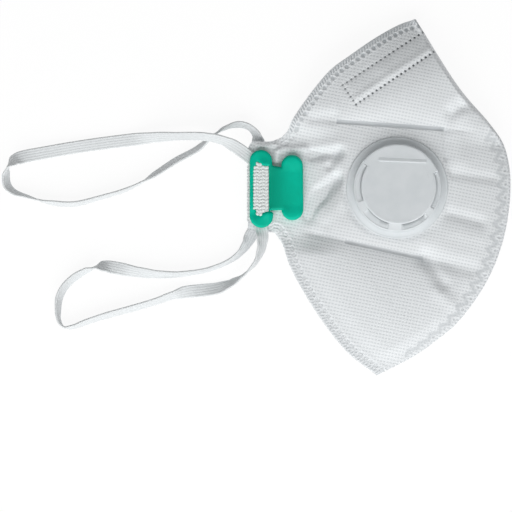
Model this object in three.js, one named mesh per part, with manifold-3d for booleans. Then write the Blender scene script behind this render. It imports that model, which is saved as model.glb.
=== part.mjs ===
// A fold-flat valved respirator lying on its side: two moulded nonwoven halves, an exhalation valve,
// two strap clips and two elastic headbands. Millimetres, +Z up, origin on the floor under the
// middle of the body. +Y runs from the chin to the nose, -X is the side that meets the face.
import * as THREE from 'three';
import { mergeVertices } from 'three/addons/utils/BufferGeometryUtils.js';
import Module from 'manifold-3d';

const wasm = await Module();
wasm.setup();

// ---- driving dimensions -------------------------------------------------------------------------
const gap = 0.3;                 // clearance kept between pieces that touch
const wall = 1.0;                // cloth wall of each half
const seamLevel = 5.6;           // height of the weld and fold that join the two halves
const crownHalf = 5.1;           // half the space between the halves at its widest
const faceHalf = 2.6;            // half the space at the open face edges
const tabHalf = 1.0;             // half the space between the two tabs
const seamRun = 14;              // how quickly the halves part away from the seam
const faceRun = 28;              // how quickly the space closes towards the face edges

const tab = {
  left: -57.5, bottom: -14.4, top: 24.5, corner: 2.2, filletFrom: -50.0, root: -46.0,
  rootBottom: -16.0, rootTop: 25.2, overlap: 4, flatFrom: -29.5, risesTo: -15, fade: 10,
};
const backShift = { x: -0.5, y: -0.9 };      // the lower clip and tab peep out from under the upper

const valve = {
  x: 7.4, y: 4.0, flatRadius: 23.5, fadeRadius: 30, plane: 11.4, hole: 17.0,
  flangeRadius: 22.2, flange: 1.2, bossRadius: 16.7, portRadius: 12.5, hubRadius: 2.5, spoke: 14,
  capRadius: 19.2, discRadius: 16.6, capHeight: 3.7, capWall: 1.0, turn: -2.5,
  ribLength: 20.9, ribWidth: 0.9, ribHeight: 0.4, ribX: 1.6, ribY: 11.7,
};

const clip = {
  thickness: 2.0, bevel: 0.4,
  barLeft: -57.3, barRight: -47.3, barBottom: -13.5, barTop: 20.8,
  padLeft: -43.4, padRight: -33.7, padBottom: -10.1, padTop: 18.4,
  neckBottom: -5.8, neckTop: 13.4,
  windowLeft: -55.6, windowRight: -49.2, windowBottom: -8.1, windowTop: 15.0,
  footFrom: -46.5,
};

const strap = { width: 5.7, thickness: 1.0, steps: 80, chamfer: 0.25 };

// ---- outline of the body ------------------------------------------------------------------------
const seamOutline = [
  { x: -1.3, y: -78.5 }, { x: 14.5, y: -70.4 }, { x: 24.4, y: -63.5 }, { x: 33.7, y: -55.8 },
  { x: 44.7, y: -41.3 }, { x: 51.7, y: -27.2 }, { x: 55.9, y: -12.2 }, { x: 57.6, y: 3.2 },
  { x: 57.0, y: 14.0 }, { x: 54.3, y: 23.8 }, { x: 48.3, y: 32.6 }, { x: 35.5, y: 47.6 },
  { x: 15.8, y: 78.5 },
];
const chinOutline = [
  { x: -1.3, y: -78.5 }, { x: -14.5, y: -68.1 }, { x: -29.0, y: -49.1 }, { x: -39.7, y: -30.0 },
  { x: -42.9, y: -20.6 }, { x: -46.0, y: -16.0 },
];
const noseOutline = [
  { x: -46.0, y: 25.2 }, { x: -43.5, y: 26.3 }, { x: -40.4, y: 29.7 },
  { x: -38.9, y: 33.5 }, { x: -22.9, y: 54.9 }, { x: -13.0, y: 62.5 }, { x: -0.7, y: 70.9 },
  { x: 9.2, y: 76.3 }, { x: 15.8, y: 78.5 },
];

// Dents (depth > 0) and ridges (depth < 0) pressed into the front half: straight runs with a soft
// cross-section of the given width.
const folds = [
  { name: 'upper bar', depth: 1.3, width: 4.5, fromX: -33, fromY: 34.0, toX: 28.2, toY: 29.8 },
  { name: 'lower bar', depth: 1.3, width: 4.5, fromX: -38.9, fromY: -14, toX: 19.1, toY: -26.5 },
  { name: 'lower bar end', depth: 0.9, width: 4.5, fromX: 19.1, fromY: -26.5, toX: 40.3, toY: -31.8 },
  { name: 'nose wire', depth: -0.7, width: 5.5, fromX: -13, fromY: 45.0, toX: 21, toY: 68.0 },
  { name: 'cheek crease', depth: 0.7, width: 4.0, fromX: 28.2, fromY: 31.5, toX: 40.6, toY: 40.7 },
  { name: 'left of valve', depth: 0.8, width: 4.5, fromX: -19.1, fromY: 11.4, toX: -31, toY: -6.0 },
  { name: 'chin crease', depth: 0.6, width: 4.0, fromX: 18.9, fromY: -26.5, toX: 27.5, toY: -42.3 },
];

// ---- headband routes: plan place, height of the lowest edge above the floor, roll about the route
const upperRoute = [
  { x: -52.4, y: -9.4, lift: 7.9, roll: 0 }, { x: -52.4, y: 6.0, lift: 7.9, roll: 0 },
  { x: -53.0, y: 13.6, lift: 7.9, roll: 0 }, { x: -57.8, y: 17.8, lift: 7.9, roll: 0 },
  { x: -63.6, y: 22.1, lift: 7.7, roll: 20 }, { x: -69.5, y: 25.0, lift: 7.3, roll: 50 },
  { x: -77.2, y: 26.6, lift: 6.6, roll: 57 }, { x: -88.2, y: 26.9, lift: 4.0, roll: 58 },
  { x: -99.2, y: 26.5, lift: 1.9, roll: 42 }, { x: -110.2, y: 25.4, lift: 0.7, roll: 14 },
  { x: -124.5, y: 23.6, lift: 0.3, roll: 15 }, { x: -136.4, y: 21.8, lift: 0.5, roll: 18 },
  { x: -149.2, y: 19.5, lift: 1.5, roll: 14 }, { x: -157.5, y: 17.8, lift: 3.0, roll: 0 },
  { x: -161.6, y: 16.3, lift: 2.6, roll: -35 }, { x: -164.3, y: 13.4, lift: 1.2, roll: -80 },
  { x: -165.0, y: 9.8, lift: 0.2, roll: -118 }, { x: -164.4, y: 5.2, lift: 0, roll: -122 },
  { x: -161.4, y: 2.3, lift: 0, roll: -112 }, { x: -156.4, y: 0.6, lift: 0, roll: -100 },
  { x: -150.0, y: -1.4, lift: 0, roll: -88 }, { x: -142.8, y: -2.7, lift: 0, roll: -74 },
  { x: -134.6, y: -2.9, lift: 0, roll: -76 }, { x: -124.3, y: -0.4, lift: 0, roll: -82 },
  { x: -113.0, y: 3.0, lift: 0, roll: -88 }, { x: -105.0, y: 6.6, lift: 0, roll: -98 },
  { x: -98.0, y: 11.0, lift: 0, roll: -112 }, { x: -90.0, y: 16.2, lift: 0, roll: -118 },
  { x: -80.5, y: 21.4, lift: 0, roll: -116 }, { x: -74.0, y: 26.8, lift: 0.1, roll: -100 },
  { x: -68.0, y: 30.7, lift: 0.2, roll: -80 }, { x: -61.8, y: 32.2, lift: 0.3, roll: -66 },
  { x: -57.2, y: 30.8, lift: 0.3, roll: -68 }, { x: -54.2, y: 27.4, lift: 0.2, roll: -54 },
  { x: -53.5, y: 24.4, lift: 0.9, roll: -8 }, { x: -53.8, y: 21.0, lift: 2.3, roll: 0 },
  { x: -54.9, y: 10.0, lift: 2.3, roll: 0 }, { x: -54.9, y: -10.0, lift: 2.3, roll: 0 },
];
const lowerRoute = [
  { x: -52.4, y: -10.0, lift: 7.9, roll: 0 }, { x: -52.3, y: -13.4, lift: 7.9, roll: 0 },
  { x: -51.7, y: -17.6, lift: 7.5, roll: 25 }, { x: -52.1, y: -22.5, lift: 6.2, roll: 52 },
  { x: -54.6, y: -28.6, lift: 4.6, roll: 76 }, { x: -60.0, y: -34.4, lift: 2.8, roll: 95 },
  { x: -65.3, y: -37.8, lift: 1.4, roll: 122 }, { x: -71.5, y: -40.2, lift: 0.6, roll: 155 },
  { x: -79.4, y: -41.2, lift: 0.2, roll: 176 }, { x: -86.0, y: -41.9, lift: 0, roll: 200 },
  { x: -91.7, y: -43.4, lift: 0, roll: 236 }, { x: -99.2, y: -46.1, lift: 0, roll: 242 },
  { x: -110.0, y: -49.3, lift: 0, roll: 243 }, { x: -120.0, y: -52.0, lift: 0, roll: 245 },
  { x: -129.6, y: -55.1, lift: 0, roll: 249 }, { x: -135.4, y: -57.2, lift: 0, roll: 256 },
  { x: -139.4, y: -57.4, lift: 0, roll: 266 }, { x: -141.6, y: -54.4, lift: 0, roll: 278 },
  { x: -142.0, y: -49.5, lift: 0, roll: 290 }, { x: -141.4, y: -44.2, lift: 0, roll: 298 },
  { x: -139.0, y: -39.5, lift: 0, roll: 300 }, { x: -134.6, y: -35.3, lift: 0, roll: 300 },
  { x: -129.6, y: -32.4, lift: 0.2, roll: 292 }, { x: -125.6, y: -30.9, lift: 1.0, roll: 262 },
  { x: -121.9, y: -30.4, lift: 2.0, roll: 215 }, { x: -117.0, y: -31.1, lift: 1.8, roll: 182 },
  { x: -106.0, y: -33.1, lift: 0.5, roll: 142 }, { x: -97.0, y: -34.0, lift: 0, roll: 120 },
  { x: -88.0, y: -33.9, lift: 0, roll: 106 }, { x: -77.2, y: -32.3, lift: 0, roll: 97 },
  { x: -71.0, y: -30.3, lift: 0, roll: 95 }, { x: -66.2, y: -28.1, lift: 0, roll: 98 },
  { x: -61.8, y: -24.8, lift: 0.2, roll: 110 }, { x: -58.9, y: -21.0, lift: 0.5, roll: 132 },
  { x: -57.1, y: -17.4, lift: 1.4, roll: 166 }, { x: -55.3, y: -14.0, lift: 2.3, roll: 180 },
  { x: -54.9, y: -10.8, lift: 2.3, roll: 180 },
];

// ---- small helpers ------------------------------------------------------------------------------
const clamp01 = (t) => Math.min(1, Math.max(0, t));
const smooth = (t) => clamp01(t) ** 2 * (3 - 2 * clamp01(t));
const mix = (a, b, share) => a + (b - a) * share;

function sampleOutline(points, count) {
  const curve = new THREE.CatmullRomCurve3(points.map((p) => new THREE.Vector3(p.x, p.y, 0)));
  return curve.getSpacedPoints(count).map((p) => ({ x: p.x, y: p.y }));
}

function distanceToRun(x, y, a, b) {
  const run = { x: b.x - a.x, y: b.y - a.y };
  const along = clamp01(((x - a.x) * run.x + (y - a.y) * run.y) / (run.x ** 2 + run.y ** 2));
  return Math.hypot(x - a.x - along * run.x, y - a.y - along * run.y);
}

function distanceToLine(x, y, line) {
  let nearest = Infinity;
  for (let i = 1; i < line.length; i += 1) {
    nearest = Math.min(nearest, distanceToRun(x, y, line[i - 1], line[i]));
  }
  return nearest;
}

function outlineAt(line, y) {
  for (let i = 1; i < line.length; i += 1) {
    const a = line[i - 1];
    const b = line[i];
    if (y >= Math.min(a.y, b.y) && y <= Math.max(a.y, b.y) && a.y !== b.y) {
      return mix(a.x, b.x, (y - a.y) / (b.y - a.y));
    }
  }
  return y < line[0].y ? line[0].x : line[line.length - 1].x;
}

const seamLine = sampleOutline(seamOutline, 60);
const chinLine = sampleOutline(chinOutline, 40);
const noseLine = sampleOutline(noseOutline, 50);

// ---- the two cloth halves -----------------------------------------------------------------------
function faceX(y) {
  if (y < tab.rootBottom) return outlineAt(chinLine, y);
  if (y > tab.rootTop) return outlineAt(noseLine, y);
  return tab.root;
}

function tabShare(x, y) {
  const inward = smooth((tab.risesTo - x) / (tab.risesTo - tab.flatFrom));
  const outside = Math.max(0, tab.rootBottom - y, y - tab.rootTop);
  return inward * (1 - smooth(outside / tab.fade));
}

function halfSpace(x, y) {
  const seamShare = 1 - Math.exp(-distanceToLine(x, y, seamLine) / seamRun);
  const faceAway = Math.min(distanceToLine(x, y, chinLine), distanceToLine(x, y, noseLine));
  const open = mix(faceHalf, crownHalf, smooth(faceAway / faceRun)) * seamShare;
  return mix(Math.max(open, gap / 2), tabHalf, tabShare(x, y));
}

function pressed(x, y) {
  let depth = 0;
  for (const fold of folds) {
    const away = distanceToRun(x, y, { x: fold.fromX, y: fold.fromY }, { x: fold.toX, y: fold.toY });
    depth += fold.depth * Math.exp(-((away / fold.width) ** 2));
  }
  const seamShare = smooth(distanceToLine(x, y, seamLine) / 12);
  return depth * seamShare * (1 - tabShare(x, y));
}

function frontInner(x, y) {
  const free = seamLevel + halfSpace(x, y) - pressed(x, y);
  const away = Math.hypot(x - valve.x, y - valve.y);
  const share = 1 - smooth((away - valve.flatRadius) / (valve.fadeRadius - valve.flatRadius));
  return mix(free, valve.plane - wall, share);
}

function backOuter(x, y) {
  return Math.max(0, seamLevel - halfSpace(x, y) - wall);
}

function rowHeights(step) {
  const tips = { chin: seamOutline[0].y, nose: seamOutline[seamOutline.length - 1].y };
  const stations = [tips.chin, tips.chin + 1.3, tab.rootBottom, tab.rootTop, tips.nose - 2.1, tips.nose];
  const rows = [];
  for (let i = 1; i < stations.length; i += 1) {
    const span = stations[i] - stations[i - 1];
    const parts = Math.max(1, Math.round(span / step));
    for (let k = 0; k < parts; k += 1) rows.push(stations[i - 1] + (span * k) / parts);
  }
  rows.push(stations[stations.length - 1]);
  return rows;
}

// A closed sheet: an upper and a lower grid over the outline, stitched around the edge. The first
// and last rows are single points, at the chin and at the nose.
function sheetGeometry(upperAt, lowerAt, step, columns) {
  const rows = rowHeights(step);
  const positions = [];
  const upper = [];
  const lower = [];
  const place = (x, y, z) => positions.push(x, y, z) / 3 - 1;
  rows.forEach((y, r) => {
    const atTip = r === 0 || r === rows.length - 1;
    const tipX = r === 0 ? seamOutline[0].x : seamOutline[seamOutline.length - 1].x;
    const left = atTip ? tipX : faceX(y);
    const right = atTip ? tipX : outlineAt(seamLine, y);
    const count = atTip ? 1 : columns + 1;
    const xs = Array.from({ length: count }, (_, c) => {
      const even = c / columns;
      const eased = (1 - Math.cos(Math.PI * even)) / 2;
      return mix(left, right, mix(even, eased, 0.6));
    });
    upper.push(xs.map((x) => place(x, y, upperAt(x, y))));
    lower.push(xs.map((x) => place(x, y, lowerAt(x, y))));
  });
  const faces = [];
  const add = (a, b, c) => {
    if (a !== b && b !== c && a !== c) faces.push(a, b, c);
  };
  const at = (grid, r, c) => grid[r][Math.min(c, grid[r].length - 1)];
  for (let r = 1; r < rows.length; r += 1) {
    for (let c = 0; c < columns; c += 1) {
      add(at(upper, r - 1, c), at(upper, r - 1, c + 1), at(upper, r, c + 1));
      add(at(upper, r - 1, c), at(upper, r, c + 1), at(upper, r, c));
      add(at(lower, r - 1, c), at(lower, r, c + 1), at(lower, r - 1, c + 1));
      add(at(lower, r - 1, c), at(lower, r, c), at(lower, r, c + 1));
    }
    for (const [c, turn] of [[0, 1], [columns, -1]]) {
      const low = [at(lower, r - 1, c), at(lower, r, c)];
      const top = [at(upper, r - 1, c), at(upper, r, c)];
      if (turn < 0) [low[0], low[1], top[0], top[1]] = [low[1], low[0], top[1], top[0]];
      add(low[0], top[0], top[1]);
      add(low[0], top[1], low[1]);
    }
  }
  return indexed(positions, faces);
}

function indexed(positions, faces) {
  const geometry = new THREE.BufferGeometry();
  geometry.setAttribute('position', new THREE.Float32BufferAttribute(positions, 3));
  geometry.setIndex(faces);
  return geometry;
}

// ---- cutting and joining ------------------------------------------------------------------------
function toSolid(geometry) {
  const bare = geometry.clone();
  bare.deleteAttribute('normal');
  bare.deleteAttribute('uv');
  const merged = mergeVertices(bare, 1e-4);
  return new wasm.Manifold(new wasm.Mesh({
    numProp: 3,
    vertProperties: new Float32Array(merged.attributes.position.array),
    triVerts: new Uint32Array(merged.index.array),
  }));
}

function toGeometry(solid) {
  const mesh = solid.getMesh();
  return indexed(Array.from(mesh.vertProperties), Array.from(mesh.triVerts));
}

function turned(profile, segments) {
  const geometry = new THREE.LatheGeometry(profile.map(([r, z]) => new THREE.Vector2(r, z)), segments);
  geometry.rotateX(Math.PI / 2);
  return geometry;
}

function ringSector(inner, outer, fromDeg, toDeg, depth) {
  const shape = new THREE.Shape();
  const from = THREE.MathUtils.degToRad(fromDeg);
  const to = THREE.MathUtils.degToRad(toDeg);
  shape.absarc(0, 0, outer, from, to, false);
  shape.absarc(0, 0, inner, to, from, true);
  return new THREE.ExtrudeGeometry(shape, { depth, bevelEnabled: false, curveSegments: 6 });
}

// ---- the pieces ---------------------------------------------------------------------------------
// The tab that carries a clip: a flat tongue that runs into the flattened side of the half.
function tabGeometry(floor) {
  const { left, bottom, top, corner, root, filletFrom } = tab;
  const shape = new THREE.Shape();
  shape.moveTo(filletFrom, bottom);
  shape.quadraticCurveTo(mix(filletFrom, root, 0.6), bottom, root, tab.rootBottom);
  shape.lineTo(root + tab.overlap, tab.rootBottom);
  shape.lineTo(root + tab.overlap, tab.rootTop);
  shape.lineTo(root, tab.rootTop);
  shape.quadraticCurveTo(mix(filletFrom, root, 0.6), top, filletFrom, top);
  shape.absarc(left + corner, top - corner, corner, Math.PI / 2, Math.PI, false);
  shape.absarc(left + corner, bottom + corner, corner, Math.PI, 1.5 * Math.PI, false);
  const tongue = new THREE.ExtrudeGeometry(shape, { depth: wall, bevelEnabled: false, curveSegments: 5 });
  tongue.translate(0, 0, floor);
  return tongue;
}

function frontPanelGeometry() {
  const sheet = sheetGeometry((x, y) => frontInner(x, y) + wall, frontInner, 4.2, 17);
  const hole = new THREE.CylinderGeometry(valve.hole, valve.hole, 10, 36);
  hole.rotateX(Math.PI / 2);
  hole.translate(valve.x, valve.y, valve.plane);
  const tongue = tabGeometry(seamLevel + tabHalf);
  return toGeometry(toSolid(sheet).add(toSolid(tongue)).subtract(toSolid(hole)));
}

function backPanelGeometry() {
  const sheet = sheetGeometry((x, y) => backOuter(x, y) + wall, backOuter, 5.6, 13);
  const tongue = tabGeometry(seamLevel - tabHalf - wall);
  tongue.translate(backShift.x, backShift.y, 0);
  return toGeometry(toSolid(sheet).add(toSolid(tongue)));
}

function valveSeatGeometry() {
  const under = -wall;
  const flangeLow = gap;
  const flangeTop = gap + valve.flange;
  const web = 1.2;
  const profile = [
    [0, under], [valve.bossRadius, under], [valve.bossRadius, flangeLow],
    [valve.flangeRadius - 0.4, flangeLow], [valve.flangeRadius, flangeLow + 0.4],
    [valve.flangeRadius, flangeTop - 0.4], [valve.flangeRadius - 0.4, flangeTop],
    [valve.portRadius + 2, flangeTop], [valve.portRadius + 2, under + web], [0, under + web],
  ];
  let seat = toSolid(turned(profile, 40));
  for (let k = 0; k < 4; k += 1) {
    const from = 90 * k + valve.spoke / 2;
    const port = ringSector(valve.hubRadius, valve.portRadius, from, from + 90 - valve.spoke, 4);
    port.translate(0, 0, -2);
    seat = seat.subtract(toSolid(port));
  }
  return toGeometry(seat);
}

function valveCapGeometry() {
  const foot = 2 * gap + valve.flange;
  const shoulder = foot + valve.capHeight - 1.1;
  const top = foot + valve.capHeight;
  const inner = valve.capRadius - valve.capWall;
  const profile = [
    [inner, foot], [valve.capRadius, foot], [valve.capRadius, shoulder - 0.4],
    [valve.capRadius - 0.4, shoulder], [valve.discRadius + 0.3, top - 0.3], [valve.discRadius, top],
    [0, top], [0, top - valve.capWall], [valve.discRadius, top - valve.capWall],
    [inner, shoulder - valve.capWall], [inner, foot],
  ];
  let cap = toSolid(turned(profile, 44));
  const vents = [{ from: -28, to: 24 }, { from: 147, to: 203 }, { from: 217.5, to: 259.4 },
    { from: 278.3, to: 319 }];
  for (const vent of vents) {
    const slot = ringSector(valve.discRadius + 0.3, valve.capRadius - 0.5, vent.from, vent.to, 3);
    slot.translate(0, 0, top - 2.6);
    cap = cap.subtract(toSolid(slot));
  }
  const rib = new THREE.BoxGeometry(valve.ribLength, valve.ribWidth, valve.ribHeight + 0.2);
  rib.translate(valve.ribX, valve.ribY, top + valve.ribHeight / 2 - 0.1);
  return toGeometry(cap.add(toSolid(rib)));
}

function clipOutline() {
  const barRound = (clip.barRight - clip.barLeft) / 2;
  const padRound = (clip.padRight - clip.padLeft) / 2;
  const barX = clip.barLeft + barRound;
  const padX = clip.padLeft + padRound;
  const shape = new THREE.Shape();
  shape.absarc(barX, clip.barBottom + barRound, barRound, Math.PI, 2 * Math.PI, false);
  shape.lineTo(clip.barRight, clip.neckBottom);
  shape.lineTo(clip.padLeft, clip.neckBottom);
  shape.absarc(padX, clip.padBottom + padRound, padRound, Math.PI, 2 * Math.PI, false);
  shape.absarc(padX, clip.padTop - padRound, padRound, 0, Math.PI, false);
  shape.lineTo(clip.padLeft, clip.neckTop);
  shape.lineTo(clip.barRight, clip.neckTop);
  shape.absarc(barX, clip.barTop - barRound, barRound, 0, Math.PI, false);
  return shape;
}

function clipWindow() {
  const round = (clip.windowRight - clip.windowLeft) / 2;
  const x = clip.windowLeft + round;
  const hole = new THREE.Path();
  hole.absarc(x, clip.windowTop - round, round, Math.PI, 0, true);
  hole.absarc(x, clip.windowBottom + round, round, 0, -Math.PI, true);
  return hole;
}

// The foot is the welded part of the clip: it stands on the tab beside the strap.
function clipGeometry() {
  const plateShape = clipOutline();
  plateShape.holes.push(clipWindow());
  const plate = new THREE.ExtrudeGeometry(plateShape, {
    depth: clip.thickness - 2 * clip.bevel, bevelEnabled: true, bevelThickness: clip.bevel,
    bevelSize: clip.bevel, bevelOffset: -clip.bevel, bevelSegments: 1, curveSegments: 6,
  });
  plate.translate(0, 0, clip.bevel);
  const padRound = (clip.padRight - clip.padLeft) / 2;
  const footHeight = strap.thickness + gap;
  const footShape = new THREE.Shape();
  const padX = clip.padLeft + padRound;
  footShape.moveTo(clip.footFrom, clip.neckTop - 1);
  footShape.lineTo(clip.footFrom, clip.neckBottom + 1);
  footShape.absarc(padX, clip.padBottom + padRound, padRound - 0.6, Math.PI, 2 * Math.PI, false);
  footShape.absarc(padX, clip.padTop - padRound, padRound - 0.6, 0, Math.PI, false);
  const foot = new THREE.ExtrudeGeometry(footShape, {
    depth: footHeight + 1, bevelEnabled: false, curveSegments: 6,
  });
  foot.translate(0, 0, -footHeight);
  return toGeometry(toSolid(plate).add(toSolid(foot)));
}

function underside(geometry) {
  const flipped = geometry.clone();
  flipped.scale(1, 1, -1);
  const order = flipped.index.array;
  for (let i = 0; i < order.length; i += 3) [order[i], order[i + 1]] = [order[i + 1], order[i]];
  return flipped;
}

// A flat band along a route. Its section is a chamfered rectangle that rolls about the route.
function bandGeometry(route) {
  const standing = (roll) => (strap.width / 2) * Math.abs(Math.sin(roll))
    + (strap.thickness / 2) * Math.abs(Math.cos(roll));
  const rolls = route.map((p) => THREE.MathUtils.degToRad(p.roll));
  const centres = route.map((p, i) => new THREE.Vector3(p.x, p.y, p.lift + standing(rolls[i])));
  const curve = new THREE.CatmullRomCurve3(centres, false, 'centripetal');
  const halfWidth = strap.width / 2;
  const halfThick = strap.thickness / 2;
  const cut = strap.chamfer;
  const section = [
    [-halfWidth, -halfThick + cut], [-halfWidth + cut, -halfThick], [halfWidth - cut, -halfThick],
    [halfWidth, -halfThick + cut], [halfWidth, halfThick - cut], [halfWidth - cut, halfThick],
    [-halfWidth + cut, halfThick], [-halfWidth, halfThick - cut],
  ];
  const sides = section.length;
  const positions = [];
  const faces = [];
  for (let k = 0; k <= strap.steps; k += 1) {
    const t = curve.getUtoTmapping(k / strap.steps);
    const spot = t * (route.length - 1);
    const before = Math.min(Math.floor(spot), route.length - 2);
    const roll = mix(rolls[before], rolls[before + 1], smooth(spot - before));
    const centre = curve.getPoint(t);
    centre.z = Math.max(centre.z, standing(roll));
    const ahead = curve.getTangent(t);
    const left = new THREE.Vector3(0, 0, 1).cross(ahead).normalize();
    const up = ahead.clone().cross(left);
    const across = left.clone().multiplyScalar(Math.cos(roll)).addScaledVector(up, -Math.sin(roll));
    const out = up.clone().multiplyScalar(Math.cos(roll)).addScaledVector(left, Math.sin(roll));
    for (const [w, h] of section) {
      const corner = centre.clone().addScaledVector(across, w).addScaledVector(out, h);
      positions.push(corner.x, corner.y, corner.z);
    }
  }
  for (let k = 0; k < strap.steps; k += 1) {
    for (let s = 0; s < sides; s += 1) {
      const a = k * sides + s;
      const b = k * sides + ((s + 1) % sides);
      faces.push(a, b, a + sides, b, b + sides, a + sides);
    }
  }
  const last = strap.steps * sides;
  for (let s = 1; s < sides - 1; s += 1) {
    faces.push(0, s + 1, s, last, last + s, last + s + 1);
  }
  return indexed(positions, faces);
}

// ---- materials ----------------------------------------------------------------------------------
const nonwoven = { color: 0xeef1f2, roughness: 0.85, metalness: 0 };
const valvePlastic = { color: 0xc8cfd1, roughness: 0.38, metalness: 0 };
const clipPlastic = { color: 0x00b291, roughness: 0.42, metalness: 0 };
const elastic = { color: 0xe9eced, roughness: 0.75, metalness: 0 };

function piece(name, geometry, finish) {
  const mesh = new THREE.Mesh(geometry, new THREE.MeshStandardMaterial(finish));
  mesh.name = name;
  return mesh;
}

// ---- assembly -----------------------------------------------------------------------------------
const respirator = new THREE.Group();
respirator.add(piece('front_panel', frontPanelGeometry(), nonwoven));
respirator.add(piece('back_panel', backPanelGeometry(), nonwoven));

const valveGroup = new THREE.Group();
valveGroup.position.set(valve.x, valve.y, valve.plane);
valveGroup.rotation.z = THREE.MathUtils.degToRad(valve.turn);
valveGroup.add(piece('valve_seat', valveSeatGeometry(), valvePlastic));
valveGroup.add(piece('valve_cap', valveCapGeometry(), valvePlastic));
respirator.add(valveGroup);

const frontClip = piece('front_clip', clipGeometry(), clipPlastic);
frontClip.position.z = seamLevel + tabHalf + wall + 2 * gap + strap.thickness;
respirator.add(frontClip);

const backClip = piece('back_clip', underside(clipGeometry()), clipPlastic);
backClip.position.set(backShift.x, backShift.y, clip.thickness);
respirator.add(backClip);

respirator.add(piece('upper_headband', bandGeometry(upperRoute), elastic));
respirator.add(piece('lower_headband', bandGeometry(lowerRoute), elastic));

export default respirator;
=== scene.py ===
import math
import bpy
import numpy as np
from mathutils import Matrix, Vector, geometry


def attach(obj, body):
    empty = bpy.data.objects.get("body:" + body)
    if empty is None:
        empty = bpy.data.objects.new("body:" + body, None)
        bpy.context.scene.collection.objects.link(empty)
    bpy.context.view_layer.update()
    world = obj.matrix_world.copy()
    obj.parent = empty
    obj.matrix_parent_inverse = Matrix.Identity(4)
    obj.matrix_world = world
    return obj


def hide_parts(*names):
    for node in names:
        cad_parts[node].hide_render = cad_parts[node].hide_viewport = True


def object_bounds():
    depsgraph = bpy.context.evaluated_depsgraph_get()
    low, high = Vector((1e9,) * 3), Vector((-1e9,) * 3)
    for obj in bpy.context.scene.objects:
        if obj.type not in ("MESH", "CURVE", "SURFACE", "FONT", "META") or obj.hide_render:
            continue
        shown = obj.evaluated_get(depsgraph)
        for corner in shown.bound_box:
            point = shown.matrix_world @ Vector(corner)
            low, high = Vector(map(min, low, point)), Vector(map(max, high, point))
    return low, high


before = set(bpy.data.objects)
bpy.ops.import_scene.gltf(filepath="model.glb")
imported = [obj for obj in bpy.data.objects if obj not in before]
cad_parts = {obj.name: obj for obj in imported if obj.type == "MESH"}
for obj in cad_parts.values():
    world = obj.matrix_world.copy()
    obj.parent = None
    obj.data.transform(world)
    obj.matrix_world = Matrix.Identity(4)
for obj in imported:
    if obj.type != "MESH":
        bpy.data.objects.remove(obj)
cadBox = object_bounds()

mm = 0.001  # the tables below that say millimetres are turned into metres with this
randomNumbers = np.random.default_rng(11)
scene = bpy.context.scene
scene.view_settings.view_transform = "Standard"

# small helpers used by every piece
def smoothStep(t):
    t = np.clip(t, 0, 1)
    return t * t * (3 - 2 * t)

def blendTo(a, b, share):
    return a + (b - a) * share

def centripetalPoint(p0, p1, p2, p3, t):
    # one point of a centripetal Catmull-Rom span, the same curve that the solids follow
    gaps = [max(np.linalg.norm(b - a), 1e-9) ** 0.5 for a, b in ((p0, p1), (p1, p2), (p2, p3))]
    out1 = ((p1 - p0) / gaps[0] - (p2 - p0) / (gaps[0] + gaps[1]) + (p2 - p1) / gaps[1]) * gaps[1]
    in2 = ((p2 - p1) / gaps[1] - (p3 - p1) / (gaps[1] + gaps[2]) + (p3 - p2) / gaps[2]) * gaps[1]
    t = np.asarray(t)[:, None]
    square, cube = t * t, t * t * t
    return ((2 * cube - 3 * square + 1) * p1 + (cube - 2 * square + t) * out1
            + (3 * square - 2 * cube) * p2 + (cube - square) * in2)

def smoothCurve(points, perSpan):
    # dense points through the given ones, and the span number of each as a decimal
    points = np.asarray(points, float)
    padded = np.vstack([2 * points[0] - points[1], points, 2 * points[-1] - points[-2]])
    parts, spans = [], []
    for k in range(len(points) - 1):
        last = k == len(points) - 2
        t = np.linspace(0, 1, perSpan + 1)[: None if last else -1]
        parts.append(centripetalPoint(*padded[k:k + 4], t))
        spans.append(k + t)
    return np.vstack(parts), np.concatenate(spans)

def runLengths(line):
    return np.concatenate([[0], np.cumsum(np.linalg.norm(np.diff(line, axis=0), axis=1))])

def evenSpacing(line, step):
    lengths = runLengths(line)
    wanted = np.linspace(0, lengths[-1], max(2, round(lengths[-1] / step)) + 1)
    return np.stack([np.interp(wanted, lengths, line[:, k]) for k in range(line.shape[1])], axis=1)

def nearestOnLine(points, line):
    # how far each point is from the line, and how far along the line its nearest place is
    away = np.full(len(points), np.inf)
    along = np.zeros(len(points))
    before = runLengths(line)
    for start, end, walked in zip(line[:-1], line[1:], before):
        run = end - start
        length = np.hypot(*run)
        offset = points - start
        share = np.clip(offset @ run / length ** 2, 0, 1)
        distance = np.hypot(offset[:, 0] - share * run[0], offset[:, 1] - share * run[1])
        closer = distance < away
        away[closer] = distance[closer]
        along[closer] = walked + share[closer] * length
    return away, along

def awayFromRun(points, fromX, fromY, toX, toY):
    return nearestOnLine(points, np.array([(fromX, fromY), (toX, toY)]))[0]

def closedLine(loop):
    return np.vstack([loop, loop[:1]])

def latticePoints(rows, columns, step):
    # a lattice of even triangles, with the row and column number of each point
    j, i = [number.ravel() for number in np.meshgrid(rows, columns, indexing="ij")]
    return np.stack([(i + 0.5 * (j % 2)) * step, j * step * math.sqrt(3) / 2], axis=1), j, i

def makeObject(name, points, faces, smooth=True, sharpAngle=50):
    mesh = bpy.data.meshes.new(name)
    mesh.from_pydata(np.asarray(points).tolist(), [], faces)
    mesh.update()
    mesh.polygons.foreach_set("use_smooth", [smooth] * len(mesh.polygons))
    if smooth:
        mesh.set_sharp_from_angle(angle=math.radians(sharpAngle))
    piece = bpy.data.objects.new(name, mesh)
    scene.collection.objects.link(piece)
    return piece

def addAttribute(piece, name, values):
    attribute = piece.data.attributes.new(name, "FLOAT", "POINT")
    attribute.data.foreach_set("value", np.asarray(values, np.float32))

def standFor(piece, node):
    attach(piece, "root")
    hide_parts(node)

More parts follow.
